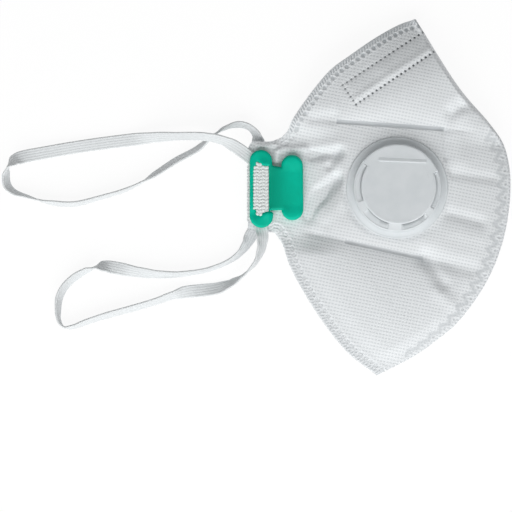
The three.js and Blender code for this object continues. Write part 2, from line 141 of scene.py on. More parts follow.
def applyModifiers(piece):
    bpy.context.view_layer.update()
    evaluated = piece.evaluated_get(bpy.context.evaluated_depsgraph_get())
    mesh = bpy.data.meshes.new_from_object(evaluated)
    piece.modifiers.clear()
    piece.data = mesh

# the camera looks straight down, and its view is a little wider than the whole object
cameraValues = {
    "margin": 1.0045,       # width of the view, in widths of the whole object
    "framedLow": -0.0259,   # the object stands high in the frame by this much
    "sharpPlane": 0.008,    # height of the plane that the width is measured in
    "height": 1.3,
    "sensor": 36.0,
}

def makeCamera(values):
    low, high = cadBox
    data = bpy.data.cameras.new("camera")
    data.sensor_width = values["sensor"]
    distance = values["height"] - values["sharpPlane"]
    data.lens = values["sensor"] * distance / ((high[0] - low[0]) * values["margin"])
    camera = bpy.data.objects.new("camera", data)
    camera.location = ((low[0] + high[0]) / 2, values["framedLow"], values["height"])
    scene.collection.objects.link(camera)
    scene.camera = camera

makeCamera(cameraValues)
print("camera ready")

# headbands: flat ribbed elastic along the route it lies on
bandValues = {
    "width": 5.7 * mm,
    "thickness": 1.0 * mm,
    "ribs": 5,
    "ribDepth": 0.2,        # share of the thickness lost between two ribs
    "pointsPerRib": 6,
    "step": 0.6 * mm,
    "slot": "elastic",
}

# each row: x, y and the height of the lowest edge (millimetres), then the roll about the route (degrees)
upperRoute = [
    (-52.4, -9.4, 7.9, 0), (-52.4, 6.0, 7.9, 0), (-53.0, 13.6, 7.9, 0), (-57.8, 17.8, 7.9, 0),
    (-63.6, 22.1, 7.7, 20), (-69.5, 25.0, 7.3, 50), (-77.2, 26.6, 6.6, 57), (-88.2, 26.9, 4.0, 58),
    (-99.2, 26.5, 1.9, 42), (-110.2, 25.4, 0.7, 14), (-124.5, 23.6, 0.3, 15), (-136.4, 21.8, 0.5, 18),
    (-149.2, 19.5, 1.5, 14), (-157.5, 17.8, 3.0, 2), (-161.2, 16.4, 2.7, -30), (-164.0, 13.6, 1.2, -84),
    (-165.0, 9.8, 0.2, -118), (-164.4, 5.2, 0, -122), (-161.4, 2.3, 0, -112), (-156.4, 0.6, 0, -100),
    (-150.0, -1.4, 0, -88), (-142.8, -2.7, 0, -72), (-134.6, -2.9, 0, -73), (-124.3, -0.4, 0, -77),
    (-113.0, 3.0, 0, -81), (-106.0, 6.1, 0, -88), (-98.0, 11.0, 0, -114), (-90.0, 16.2, 0, -118),
    (-80.5, 21.4, 0, -116), (-74.0, 26.8, 0.1, -100), (-68.0, 30.7, 0.2, -80), (-61.8, 32.2, 0.3, -66),
    (-57.2, 30.8, 0.3, -68), (-54.2, 27.4, 0.2, -54), (-53.5, 24.4, 0.9, -8), (-53.8, 21.0, 2.3, 0),
    (-54.9, 10.0, 2.3, 0), (-54.9, -10.0, 2.3, 0),
]
lowerRoute = [
    (-52.4, -10.0, 7.9, 0), (-52.3, -13.4, 7.9, 0), (-51.7, -17.6, 7.5, 25), (-52.1, -22.5, 6.2, 52),
    (-54.6, -28.6, 4.6, 76), (-60.0, -34.4, 2.8, 95), (-65.3, -37.8, 1.4, 122), (-71.5, -40.2, 0.6, 155),
    (-79.4, -41.2, 0.2, 176), (-86.0, -41.9, 0, 200), (-91.7, -43.4, 0, 236), (-99.2, -46.1, 0, 242),
    (-110.0, -49.3, 0, 243), (-120.0, -52.0, 0, 245), (-129.6, -55.1, 0, 249), (-135.4, -57.2, 0, 256),
    (-139.4, -57.4, 0, 266), (-141.6, -54.4, 0, 278), (-142.0, -49.5, 0, 290), (-141.4, -44.2, 0, 298),
    (-139.0, -39.5, 0, 300), (-134.6, -35.3, 0, 300), (-129.6, -32.4, 0.2, 293), (-125.6, -30.9, 1.0, 264),
    (-121.9, -30.4, 2.0, 214), (-117.0, -31.1, 1.8, 182), (-106.0, -33.1, 0.5, 142), (-97.0, -34.0, 0, 122),
    (-88.0, -33.9, 0, 110), (-77.2, -32.3, 0, 105), (-71.0, -30.3, 0, 104), (-66.2, -28.1, 0, 106),
    (-61.8, -24.8, 0.2, 114), (-58.9, -21.0, 0.5, 132), (-57.1, -17.4, 1.4, 166), (-55.3, -14.0, 2.3, 180),
    (-54.9, -10.8, 2.3, 180),
]

def standing(roll, values):
    # half of the height that a band of this roll takes
    return (values["width"] * np.abs(np.sin(roll)) + values["thickness"] * np.abs(np.cos(roll))) / 2

def bandFrames(route, values):
    # centre, direction across the width and direction out of the flat face, at even steps
    rows = np.array(route)
    rolls = np.radians(rows[:, 3])
    centres = rows[:, :3] * mm
    centres[:, 2] += standing(rolls, values)
    dense, spans = smoothCurve(centres, 60)
    lengths = runLengths(dense)
    wanted = np.linspace(0, lengths[-1], round(lengths[-1] / values["step"]) + 1)
    spots = np.interp(wanted, lengths, spans)
    middle = np.stack([np.interp(wanted, lengths, dense[:, k]) for k in range(3)], axis=1)
    before = np.minimum(spots.astype(int), len(rows) - 2)
    roll = blendTo(rolls[before], rolls[before + 1], smoothStep(spots - before))
    middle[:, 2] = np.maximum(middle[:, 2], standing(roll, values))
    ahead = np.gradient(middle, axis=0)
    ahead /= np.linalg.norm(ahead, axis=1)[:, None]
    left = np.cross([0, 0, 1], ahead)
    left /= np.linalg.norm(left, axis=1)[:, None]
    up = np.cross(ahead, left)
    cosine, sine = np.cos(roll)[:, None], np.sin(roll)[:, None]
    return middle, cosine * left - sine * up, cosine * up + sine * left, wanted

def bandSection(values):
    # across the width and out of the face, once round, with a valley between each two ribs
    count = values["ribs"] * values["pointsPerRib"]
    across = np.linspace(-1, 1, count + 1)
    bulge = np.abs(np.sin(np.pi * values["ribs"] * (across + 1) / 2)) ** 0.6
    bulge = np.where(np.abs(across) > 1 - 1 / values["ribs"], 1, bulge)
    edge = np.sqrt(np.clip((1 - np.abs(across)) * values["ribs"] * 1.5, 0, 1))
    half = values["thickness"] / 2 * (1 - values["ribDepth"] * (1 - bulge)) * (0.3 + 0.7 * edge)
    top = np.stack([across * values["width"] / 2, half], axis=1)
    bottom = np.stack([across * values["width"] / 2, -half], axis=1)[::-1]
    return np.vstack([top, bottom]), np.concatenate([bulge, bulge[::-1]])

def makeBand(name, node, route, values):
    middle, across, out, walked = bandFrames(route, values)
    section, bulge = bandSection(values)
    sides, rings = len(section), len(middle)
    points = (middle[:, None, :] + across[:, None, :] * section[None, :, :1]
              + out[:, None, :] * section[None, :, 1:]).reshape(-1, 3)
    ring, side = np.meshgrid(np.arange(rings - 1), np.arange(sides), indexing="ij")
    corner = (ring * sides + side).ravel()
    following = (ring * sides + (side + 1) % sides).ravel()
    faces = np.stack([corner, corner + sides, following + sides, following], axis=1).tolist()
    faces.append(list(range(sides)))
    faces.append(list(range((rings - 1) * sides, rings * sides))[::-1])
    piece = makeObject(name, points, faces, sharpAngle=70)
    addAttribute(piece, "bandAcross", np.tile(section[:, 0] / values["width"] * 2, rings))
    addAttribute(piece, "bandAlong", np.repeat(walked, sides))
    addAttribute(piece, "bandRib", np.tile(bulge, rings))
    standFor(piece, node)
    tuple(middle[0])
    print(name, "is", round(float(walked[-1]), 4), "m long")
    return piece

upperBand = makeBand("upper_strap", "upper_headband", upperRoute, bandValues)
lowerBand = makeBand("lower_strap", "lower_headband", lowerRoute, bandValues)

# the folded body (millimetres)
bodyValues = {
    "wall": 1.0, "seamLevel": 5.6, "seamGap": 0.08,
    # half of the space between the halves: in the middle, at each edge, and how far the edges reach in
    "crownHalf": 5.1, "noseHalf": 3.6, "chinHalf": 2.2, "tabHalf": 1.0, "foldHalf": 3.8,
    "seamRun": 12, "foldRun": 0.55, "noseRun": 28, "chinRun": 28,
    "noseSwell": 0.8, "swellFrom": 68, "swellRun": 20,      # the nose side is fuller towards the clip
    "foldFrom": 22, "foldBlend": 10,        # height where the curved weld goes over into the fold
    "tabLeft": -57.5, "tabBottom": -14.4, "tabTop": 24.5, "tabCorner": 2.2, "filletFrom": -50.0,
    "tabRoot": -46.0, "rootBottom": -16.0, "rootTop": 25.2,
    "flatFrom": -33.5, "risesTo": -13, "tabFade": 10,
    "backShiftX": -0.5, "backShiftY": -0.9,     # the lower half's tab peeps out by this
    "reliefGain": 1.5,      # the heights of the ridge and dent rows are multiplied by this
    "dentsFrom": -37, "dentsRun": 8, "weldFade": 9, "foldFade": 2.5,
    "browIn": 31, "chinIn": 14,     # how far from the edges a panel has its full rise
    "panelLead": 8, "panelStart": 10, "panelTrail": 6, "panelEnd": 12,
    "grid": 0.27,           # closest spacing of the cloth's points
    "outlineStep": 0.5,
    "edgeRound": 0.35, "edgeRoundIn": 0.45,     # how much the upper edge is rounded off
    "foldRound": 0.1, "foldRoundIn": 0.8,
    "cutSpare": 1.03,       # the cloth was cut larger than its outline by this, for its doming
    "slot": "shell_fabric",
}
# where the valve sits on the body (millimetres, and degrees for its turn)
valvePlace = {"x": 7.4, "y": 4.0, "plane": 11.4, "hole": 17.0, "flat": 22.4, "fade": 25.0, "turn": -2.5}

# the body's outline: the curved weld from chin to nose, then the two free edges as far as the tab
seamOutline = [(-1.3, -78.5), (14.5, -70.4), (24.4, -63.5), (33.7, -55.8), (44.7, -41.3), (51.7, -27.2),
               (55.9, -12.2), (57.6, 3.2), (57.0, 14.0), (54.3, 23.8), (48.3, 32.6), (35.5, 47.6),
               (15.8, 78.5)]
chinOutline = [(-1.3, -78.5), (-14.5, -68.1), (-29.0, -49.1), (-39.7, -30.0), (-42.9, -20.6),
               (-46.0, -16.0)]
noseOutline = [(-46.0, 25.2), (-43.5, 26.3), (-40.4, 29.7), (-38.9, 33.5), (-22.9, 54.9), (-13.0, 62.5),
               (-0.7, 70.9), (9.2, 76.3), (15.8, 78.5)]

def outlineCurve(points):
    return evenSpacing(smoothCurve(points, 24)[0], bodyValues["outlineStep"])

seamLine, chinLine, noseLine = [outlineCurve(points) for points in (seamOutline, chinOutline, noseOutline)]

def arcPoints(x, y, radius, fromDeg, toDeg, count):
    angles = np.radians(np.linspace(fromDeg, toDeg, count))
    return np.stack([x + radius * np.cos(angles), y + radius * np.sin(angles)], axis=1)

def tabOutline(v):
    # from the upper root round the tab to the lower root
    t = np.linspace(0, 1, 7)[:, None]
    bendX = blendTo(v["filletFrom"], v["tabRoot"], 0.6)
    def fillet(a, b, c):
        a, b, c = np.array(a), np.array(b), np.array(c)
        return (1 - t) ** 2 * a + 2 * t * (1 - t) * b + t ** 2 * c
    corner = v["tabCorner"]
    line = np.vstack([
        fillet((v["tabRoot"], v["rootTop"]), (bendX, v["tabTop"]), (v["filletFrom"], v["tabTop"])),
        arcPoints(v["tabLeft"] + corner, v["tabTop"] - corner, corner, 90, 180, 7),
        arcPoints(v["tabLeft"] + corner, v["tabBottom"] + corner, corner, 180, 270, 7),
        fillet((v["filletFrom"], v["tabBottom"]), (bendX, v["tabBottom"]), (v["tabRoot"], v["rootBottom"])),
    ])
    return evenSpacing(line, v["outlineStep"])

# ridges and dents of the moulded half (millimetres): a run from one place to another, its height
# (below zero for a dent) and how far it spreads to each side
reliefRows = [
    # name              fromX   fromY   toX    toY   height spread
    ("lower bar end",    19.1, -26.5,   40.3, -31.8, -0.8,  3.6),
    ("above lower bar", -20.0, -10.5,   26.0, -20.0,  0.3,  5.0),
    ("nose pillow a",   -12.0,  46.5,    2.0,  56.0,  0.2,  4.0),
    ("nose pillow b",     2.0,  56.0,   20.0,  68.4,  0.3,  4.0),
    ("pocket fold",     -11.2,  43.0,   22.0,  65.4,  0.4,  1.6),
    ("nose tip",          2.0,  79.0,   19.0,  78.0, -1.6, 10.0),
    ("cheek crease a",   28.2,  31.5,   31.0,  37.0, -0.6,  2.8),
    ("cheek crease b",   31.0,  37.0,   35.0,  39.6, -0.7,  3.0),
    ("cheek crease c",   35.0,  39.6,   40.6,  40.7, -0.6,  2.8),
    ("flap line",        28.3,  28.5,   28.8,  17.0, -0.4,  1.2),
    ("flap swell",       34.0,  27.0,   35.0,  17.0,  0.5,  4.0),
    ("side crease",      30.4,  10.5,   50.4,   8.1, -0.45, 2.4),
    ("side wrinkle",     27.9,  -6.5,   44.0, -10.8, -0.6,  2.6),
    ("side swell",       28.0, -14.5,   45.0, -18.0,  0.2,  3.0),
    ("left of valve a", -19.0,   8.0,  -26.0,   1.0, -2.5,  2.7),
    ("left of valve b", -26.0,   1.0,  -32.0,  -6.5, -2.2,  2.7),
    ("below that",      -14.0,   1.0,  -27.0, -11.0,  0.6,  3.4),
    ("clip dent",       -30.0,  18.8,  -18.5,  19.6, -1.6,  2.4),
    ("valve crease",    -18.5,  20.0,  -22.0,  13.5, -0.9,  2.0),
    ("bar hollow",      -33.0,  34.5,  -21.0,  35.0, -0.8,  2.8),
    ("clip swell",      -36.0,  24.0,  -18.0,  23.0,  0.35, 3.2),
    ("clip hollow",     -33.0,  -9.5,  -24.0, -11.5, -0.5,  2.6),
    ("chin crease",      20.0, -26.5,   27.5, -38.0, -0.8,  3.0),
    ("chin swell",       25.0, -41.0,   34.0, -49.0,  0.45, 3.0),
]
# sharper creases, which fall off at once to both sides
creaseRows = [
    # name              fromX   fromY   toX    toY   depth  reach
    ("upper bar",       -30.0,  34.0,   28.2,  29.8,  0.4,  4.0),
    ("lower bar",       -38.9, -14.0,   19.1, -26.9,  0.9,  4.0),
]
# panels that rise from a crease to one side of it
panelRows = [
    # name              fromX   fromY   toX    toY   side  rise  reach
    ("brow",            -30.0,  34.0,   28.2,  29.8,  1,   4.7,  8.0),
    ("chin panel",      -38.9, -14.0,   19.1, -26.9, -1,   1.9,  8.0),
]
# soft swellings beside the clip (millimetres): a run, its height and how far it spreads
tabRows = [
    (-45.6,  16.5,  -45.3,  20.0,  1.3,  1.5),
    (-44.0,  21.2,  -33.0,  21.6,  1.0,  1.5),
    (-53.5,  22.8,  -46.0,  22.8,  0.9,  1.2),
]
print("outline ready")

def leftEdge(v):
    # the edge that faces the wearer, from the chin round the tab to the nose
    return np.vstack([chinLine, tabOutline(v)[::-1][1:], noseLine[1:]])

def tabShare(x, y, v):
    # 1 on the flat tab, 0 out on the domed body
    inward = smoothStep((v["risesTo"] - x) / (v["risesTo"] - v["flatFrom"]))
    outside = np.maximum(0, np.maximum(v["rootBottom"] - y, y - v["rootTop"]))
    return inward * (1 - smoothStep(outside / v["tabFade"]))

def foldShare(points, v):
    # 0 beside the curved weld, 1 beside the fold
    return smoothStep((points[:, 1] - v["foldFrom"]) / v["foldBlend"])

def halfSpace(points, away, v):
    # half of the space between the halves, without ridges and dents
    onFold = foldShare(points, v)
    seamShare = blendTo(1 - np.exp(-away["seam"] / v["seamRun"]),
                        1 - np.exp(-((away["seam"] / v["foldRun"]) ** 1.5)), onFold)
    noseHalf = v["noseHalf"] + v["noseSwell"] * smoothStep((v["swellFrom"] - points[:, 1]) / v["swellRun"])
    space = v["crownHalf"] - (v["crownHalf"] - noseHalf) * (1 - smoothStep(away["nose"] / v["noseRun"]))
    space -= (v["crownHalf"] - v["chinHalf"]) * (1 - smoothStep(away["chin"] / v["chinRun"]))
    space -= (v["crownHalf"] - v["foldHalf"]) * (1 - smoothStep(away["seam"] / v["noseRun"])) * onFold
    space *= seamShare
    return blendTo(np.maximum(space, v["seamGap"] / 2), v["tabHalf"], tabShare(*points.T, v))

def relief(points, away, v):
    # height of the ridges, dents, creases and panels
    x, y = points.T
    total = np.zeros(len(points))
    for _, *run, height, spread in reliefRows:
        total += v["reliefGain"] * height * np.exp(-((awayFromRun(points, *run) / spread) ** 2))
    for _, *run, depth, fall in creaseRows:
        total -= depth * np.exp(-np.sqrt(awayFromRun(points, *run) ** 2 + 0.16) / fall)
    inFrom = smoothStep(np.minimum(away["nose"] / v["browIn"], away["chin"] / v["chinIn"]))
    for _, fromX, fromY, toX, toY, side, rise, reach in panelRows:
        beyond = side * (y - fromY - (x - fromX) * (toY - fromY) / (toX - fromX))
        ends = smoothStep((x - fromX + v["panelLead"]) / v["panelStart"])
        ends *= 1 - smoothStep((x - toX - v["panelTrail"]) / v["panelEnd"])
        total += rise * (1 - np.exp(-np.maximum(beyond, 0) / reach)) * ends * inFrom
    nearClip = smoothStep((x - v["dentsFrom"]) / v["dentsRun"])     # dents run on up to the clip
    total *= np.where(total < 0, nearClip, 1 - tabShare(x, y, v))
    total *= smoothStep(away["seam"] / blendTo(v["weldFade"], v["foldFade"], foldShare(points, v)))
    for *run, height, spread in tabRows:
        total += height * np.exp(-((awayFromRun(points, *run) / spread) ** 2))
    return total

def edgeDistances(points):
    away, along = {}, {}
    for name, line in (("seam", seamLine), ("chin", chinLine), ("nose", noseLine)):
        away[name], along[name] = nearestOnLine(points, line)
    return away, along

# marks pressed or welded into the cloth (millimetres); a dark value is how far the mark has fused
weldValues = {
    "dashPitch": 1.42, "dashWidth": 0.6, "dashFrom": 0.45, "dashTo": 2.1, "dashDepth": 0.2,
    "noseLean": 0.55, "chinLean": 0.35,     # slant of the dashes, along the edge per millimetre inward
    "dotPitch": 2.9, "dotIn": 3.35, "dotRadius": 0.95, "dotDepth": 0.24, "dotDark": 0.6,
    "rimHeight": 0.06, "rimOut": 0.35, "rimWide": 0.3,      # raised rim round each dot
    "chinDash": 0.5, "chinDashDark": 0.6, "chinDotDark": 0.2,
    "cushionHeight": 0.2, "cushionFlat": 0.4, "ridgeIn": 5.1, "ridgeWide": 0.7, "ridgeHeight": 0.12,
    "zigPitch": 6.1, "zigStep": 2.1, "zigInner": 5.7, "zigOuter": 2.2, "zigHalf": 0.8, "zigBlur": 0.6,
    "zigDepth": 0.09, "zigDark": 0.42,
    "zigTop": 28.6,         # height on the seam of the uppermost inner corner
    "zigShallow": 0.62, "zigGrowFrom": 15, "zigGrowRun": 50,    # the teeth start short and grow
    "pinRadius": 0.55, "pinIn": 2.1, "pinDepth": 0.2, "pinDark": 0.5,
    "edgePitch": 1.75, "edgeIn": 0.5, "edgeRadius": 0.32, "edgeDepth": 0.15, "edgeDark": 0.6,
    "holePitch": 2.18, "holeRadius": 0.46, "holeDepth": 0.5, "pocketDepth": 0.18,
    "holeStrength": (1.0, 0.65, 0.85, 1.0),     # at the pocket's corners
    "barHalf": 0.9, "barDepth": 0.25,
    "tipFrom": 42, "tipRun": 32, "tipDark": 0.38,   # the dots and the band beside the edge are darker towards the nose tip
}
# the dotted pocket of the nose wire: its corners, from one open end round to the other
noseRows = [(18.9, 72.6), (-16.5, 49.2), (-10.7, 40.6), (23.5, 63.7)]
# the two pressed bars
barRows = [
    # fromX  fromY   toX    toY   how dark
    (-19.1,  33.2,  28.2,  29.8,  0.7),
    (-15.3, -19.4,  19.1, -26.9,  0.45),
]

def softEdge(distance, half, blur=0.22):
    # 1 inside the half width, 0 outside, soft over the blur
    return smoothStep((half + blur - distance) / (2 * blur))

def dashes(along, away, lean, w):
    phase = (along + lean * away) / w["dashPitch"]
    side = np.abs(phase - np.round(phase)) * w["dashPitch"]
    run = np.maximum(w["dashFrom"] - away, away - w["dashTo"])
    return softEdge(side, w["dashWidth"] / 2, 0.2) * softEdge(run, 0, 0.2)

def edgeDots(along, away, w):
    phase = along / w["dotPitch"]
    side = (phase - np.round(phase)) * w["dotPitch"]
    return np.hypot(side, away - w["dotIn"])

def zigzagLines(w):
    # the welded zigzag as one line inside the seam, with a pin mark in each tooth
    lengths = runLengths(seamLine)
    top = np.interp(w["zigTop"], seamLine[:, 1], lengths)
    normals = np.gradient(seamLine, axis=0)[:, ::-1] * (-1, 1)
    normals /= np.linalg.norm(normals, axis=1)[:, None]
    def inside(walked, depth):
        walked = np.atleast_1d(walked)
        return np.stack([np.interp(walked, lengths, seamLine[:, k])
                         + np.interp(walked, lengths, normals[:, k]) * depth for k in (0, 1)], axis=1)
    corners, pins = [], []
    for k in range(int((top - 8) / w["zigPitch"])):
        inner = top - k * w["zigPitch"]
        grown = float(smoothStep((inner - w["zigGrowFrom"]) / w["zigGrowRun"]))
        depth = w["zigInner"] * blendTo(w["zigShallow"], 1, grown)
        corners += [inside(inner, depth), inside(inner - w["zigStep"], w["zigOuter"])]
        pins.append(inside(inner + 0.5, w["pinIn"]))
    start = inside(top + 2.5, 0.4)
    return np.vstack([start] + corners), np.vstack(pins)

def pocketHoles(w):
    # the holes along the wire's pocket, and how deep and dark each one is
    rows = np.array(noseRows)
    holes, strength = [], []
    for start, end, first, last in zip(rows[:-1], rows[1:], w["holeStrength"][:-1], w["holeStrength"][1:]):
        row = evenSpacing(np.array([start, end]), w["holePitch"])[1 if holes else 0:]
        holes.append(row)
        strength.append(np.linspace(first, last, len(row)))
    return np.vstack(holes), np.concatenate(strength)

def nearestDot(points, dots):
    closest = np.full(len(points), np.inf)
    for dot in dots:
        closest = np.minimum(closest, np.hypot(*(points - dot).T))
    return closest

def edgeMarks(edge, height, along, away, w):
    # the slanted dashes and the row of dots along one free edge
    dash = dashes(along, away, w[edge + "Lean"], w)
    reach = edgeDots(along, away, w)
    dot = softEdge(reach, w["dotRadius"], 0.3)
    rim = np.exp(-((reach - w["dotRadius"] - w["rimOut"]) / w["rimWide"]) ** 2) * (away > w["dotIn"] - 2.2)
    if edge == "nose":
        nearTip = w["tipDark"] * smoothStep((height - w["tipFrom"]) / w["tipRun"])
        depth = w["dashDepth"] * dash + w["dotDepth"] * dot
        band = nearTip * softEdge(away, w["dashTo"], 0.6)
        fused = np.maximum.reduce([dash, (w["dotDark"] + nearTip) * dot, band])
    else:
        pad = dot * (1 - 0.8 * softEdge(reach, w["dotRadius"] - w["cushionFlat"], 0.3))
        ridge = np.exp(-((away - w["ridgeIn"]) / w["ridgeWide"]) ** 2)
        depth = w["dashDepth"] * w["chinDash"] * dash + w["cushionHeight"] * pad - w["ridgeHeight"] * ridge
        fused = np.maximum(w["chinDashDark"] * dash, w["chinDotDark"] * dot)
    return depth - w["rimHeight"] * rim, fused

def pressedMarks(points, away, along, w, v):
    # depth of every weld and mark, how far the cloth has fused there, and the holes of the pocket
    height = points[:, 1]
    noseDepth, noseFused = edgeMarks("nose", height, along["nose"], away["nose"], w)
    chinDepth, chinFused = edgeMarks("chin", height, along["chin"], away["chin"], w)
    zigzag, pins = zigzagLines(w)
    zig = softEdge(nearestOnLine(points, zigzag)[0], w["zigHalf"], w["zigBlur"])
    pin = softEdge(nearestDot(points, pins), w["pinRadius"], 0.3)
    phase = along["seam"] / w["edgePitch"]
    side = (phase - np.round(phase)) * w["edgePitch"]
    edgeDot = softEdge(np.hypot(side, away["seam"] - w["edgeIn"]), w["edgeRadius"], 0.2)
    edgeDot *= height < w["zigTop"] + 4
    hole = np.zeros(len(points))
    for place, dark in zip(*pocketHoles(w)):
        hole = np.maximum(hole, dark * softEdge(np.hypot(*(points - place).T), w["holeRadius"], 0.16))
    pocket, _ = nearestOnLine(points, np.array(noseRows))
    depth = noseDepth + chinDepth + w["zigDepth"] * zig + w["pinDepth"] * pin + w["edgeDepth"] * edgeDot
    depth += w["holeDepth"] * hole + w["pocketDepth"] * np.exp(-(pocket ** 2))
    fused = np.maximum.reduce([noseFused, chinFused, w["zigDark"] * zig, w["pinDark"] * pin,
                               w["edgeDark"] * edgeDot])
    for fromX, fromY, toX, toY, dark in barRows:
        run = np.array([toX - fromX, toY - fromY])
        length = np.hypot(*run)
        offset = points - (fromX, fromY)
        walked = offset @ run / length
        reach = np.abs(offset[:, 0] * run[1] - offset[:, 1] * run[0]) / length
        bar = softEdge(reach, w["barHalf"], 0.18) * softEdge(np.abs(walked - length / 2), length / 2, 0.2)
        depth += w["barDepth"] * bar
        fused = np.maximum(fused, dark * bar)
    onTab = smoothStep((tabShare(*points.T, v) - 0.6) / 0.4)
    return depth, fused * (1 - onTab), hole

def valveReach(points):
    return np.hypot(points[:, 0] - valvePlace["x"], points[:, 1] - valvePlace["y"])

def clothGrid(v, w, hole):
    # points inside the outline, close together near welds and marks, wider apart elsewhere
    step = v["grid"]
    edge = leftEdge(v)
    rows = np.arange(int(-80 / (step * 0.866)), int(80 / (step * 0.866)))
    columns = np.arange(int(-60 / step), int(60 / step))
    points, j, i = latticePoints(rows, columns, step)
    inside = (points[:, 0] > np.interp(points[:, 1], edge[:, 1], edge[:, 0]) + step * 0.7)
    inside &= (points[:, 0] < np.interp(points[:, 1], seamLine[:, 1], seamLine[:, 0]) - step * 0.7)
    points, j, i = points[inside], j[inside], i[inside]
    away, _ = edgeDistances(points)
    tabAway, _ = nearestOnLine(points, tabOutline(v))
    clear = np.minimum.reduce([away["seam"], away["chin"], away["nose"], tabAway]) > step * 0.6
    if hole:
        clear &= valveReach(points) > hole + step * 0.6
    points, j, i = points[clear], j[clear], i[clear]
    away = {name: value[clear] for name, value in away.items()}
    pocket, _ = nearestOnLine(points, np.array(noseRows))
    close = (away["nose"] < 4.8) | (away["chin"] < 4.8) | (away["seam"] < 6.8) | (pocket < 0.9)
    for *run, _ in barRows:
        close |= awayFromRun(points, *run) < 1.7
    every2 = (j % 2 == 0) & ((i - j // 2) % 2 == 0)
    every4 = (j % 4 == 0) & ((i - j // 2) % 4 == 0)
    return points[close | every2], points[every4]

def insideLoop(points, loop):
    crossings = np.zeros(len(points), bool)
    for a, b in zip(loop, np.roll(loop, -1, axis=0)):
        spans = (a[1] > points[:, 1]) != (b[1] > points[:, 1])
        crossings ^= spans & (points[:, 0] < (b[0] - a[0]) * (points[:, 1] - a[1]) / (b[1] - a[1]) + a[0])
    return crossings

def triangles(loops, inner):
    points = np.vstack(loops + [inner])
    edges, first = [], 0
    for loop in loops:
        edges += [(first + k, first + (k + 1) % len(loop)) for k in range(len(loop))]
        first += len(loop)
    made = geometry.delaunay_2d_cdt([Vector(p) for p in points], edges, [], 1, 1e-6, False)
    if len(made[0]) != len(points):
        raise RuntimeError("two outline points of a sheet lie on each other")
    faces = np.array(made[2])
    middles = points[faces].mean(axis=1)
    kept = insideLoop(middles, loops[0])
    for hole in loops[1:]:
        kept &= ~insideLoop(middles, hole)
    faces = faces[kept]
    a, b, c = (points[faces[:, k]] for k in range(3))
    turned = (b[:, 0] - a[:, 0]) * (c[:, 1] - a[:, 1]) - (b[:, 1] - a[:, 1]) * (c[:, 0] - a[:, 0]) < 0
    faces[turned] = faces[turned][:, ::-1]
    return points, faces

def loopArea(loop):
    x, y = loop.T
    return np.sum(x * np.roll(y, -1) - np.roll(x, -1) * y) / 2

def joinSheets(upper, upperFaces, lower, lowerFaces, loops):
    # an upper and a lower face over the same outline, with a wall between them
    shift = len(upper)
    walls, first = [], 0
    for loop in loops:
        n = len(loop)
        k = np.arange(n) + first
        following = (np.arange(n) + 1) % n + first
        if loopArea(loop) * (1 if first == 0 else -1) < 0:
            k, following = following, k
        walls += np.stack([k, k + shift, following + shift], axis=1).tolist()
        walls += np.stack([k, following + shift, following], axis=1).tolist()
        first += n
    faces = upperFaces.tolist() + (lowerFaces[:, ::-1] + shift).tolist() + walls
    return np.vstack([upper, lower]), faces

def halfLoops(front, v):
    # the outline of one half, and the round hole for the valve
    shift = np.zeros(2) if front else np.array([v["backShiftX"], v["backShiftY"]])
    tab = tabOutline(v)[1:-1]
    tab = tab + smoothStep((v["tabRoot"] - tab[:, :1]) / 3) * shift
    loops = [np.vstack([seamLine[:-1], noseLine[:0:-1], [noseLine[0]], tab, chinLine[:0:-1]])]
    if front:
        loops.append(arcPoints(valvePlace["x"], valvePlace["y"], valvePlace["hole"], 0, 360, 91)[:-1])
    return loops

def standOff(points, away, front, v):
    # how far the inner face stands off the seam's level, flat under the valve
    free = np.maximum(halfSpace(points, away, v) + relief(points, away, v), v["seamGap"] / 2)
    if not front:
        return free
    fade = valvePlace["fade"] - valvePlace["flat"]
    share = 1 - smoothStep((valveReach(points) - valvePlace["flat"]) / fade)
    return blendTo(free, valvePlace["plane"] - v["seamLevel"] - v["wall"], share)

def makeHalf(name, node, front, v, w):
    # front: the half with the valve, facing up; otherwise the half that lies on the floor
    loops = halfLoops(front, v)
    fine, coarse = clothGrid(v, w, valvePlace["hole"] if front else None)
    outer, outerFaces = triangles(loops, fine)
    inner, innerFaces = triangles(loops, coarse)
    away, along = edgeDistances(outer)
    outerFree = standOff(outer, away, front, v)
    innerFree = standOff(inner, edgeDistances(inner)[0], front, v)
    depth, fused, hole = pressedMarks(outer, away, along, w, v)
    rim = np.minimum.reduce([away["seam"], away["chin"], away["nose"]])
    rounded = v["edgeRound"] * np.exp(-((rim / v["edgeRoundIn"]) ** 2))
    fold = smoothStep((outer[:, 1] - w["zigTop"] - 3) / 6)
    rounded += fold * v["foldRound"] * np.exp(-((away["seam"] / v["foldRoundIn"]) ** 2))
    if front:
        outerZ = v["seamLevel"] + outerFree + v["wall"] - depth - rounded
        innerZ = v["seamLevel"] + innerFree
    else:
        outerZ = np.maximum(0, v["seamLevel"] - outerFree - v["wall"]) + np.maximum(depth, 0) + rounded
        innerZ = np.maximum(0, v["seamLevel"] - innerFree - v["wall"]) + v["wall"]
    upper = np.column_stack([outer, outerZ]) * mm
    lower = np.column_stack([inner, innerZ]) * mm
    points, faces = joinSheets(upper, outerFaces, lower, innerFaces, loops)
    if not front:
        faces = [face[::-1] for face in faces]
    piece = makeObject(name, points, faces, sharpAngle=60)
    bare = np.zeros(len(lower))
    addAttribute(piece, "fused", np.concatenate([fused, bare]))
    addAttribute(piece, "hole", np.concatenate([hole, bare]))
    standFor(piece, node)
    return piece

frontHalf = makeHalf("front_half", "front_panel", True, bodyValues, weldValues)
backHalf = makeHalf("back_half", "back_panel", False, bodyValues, weldValues)

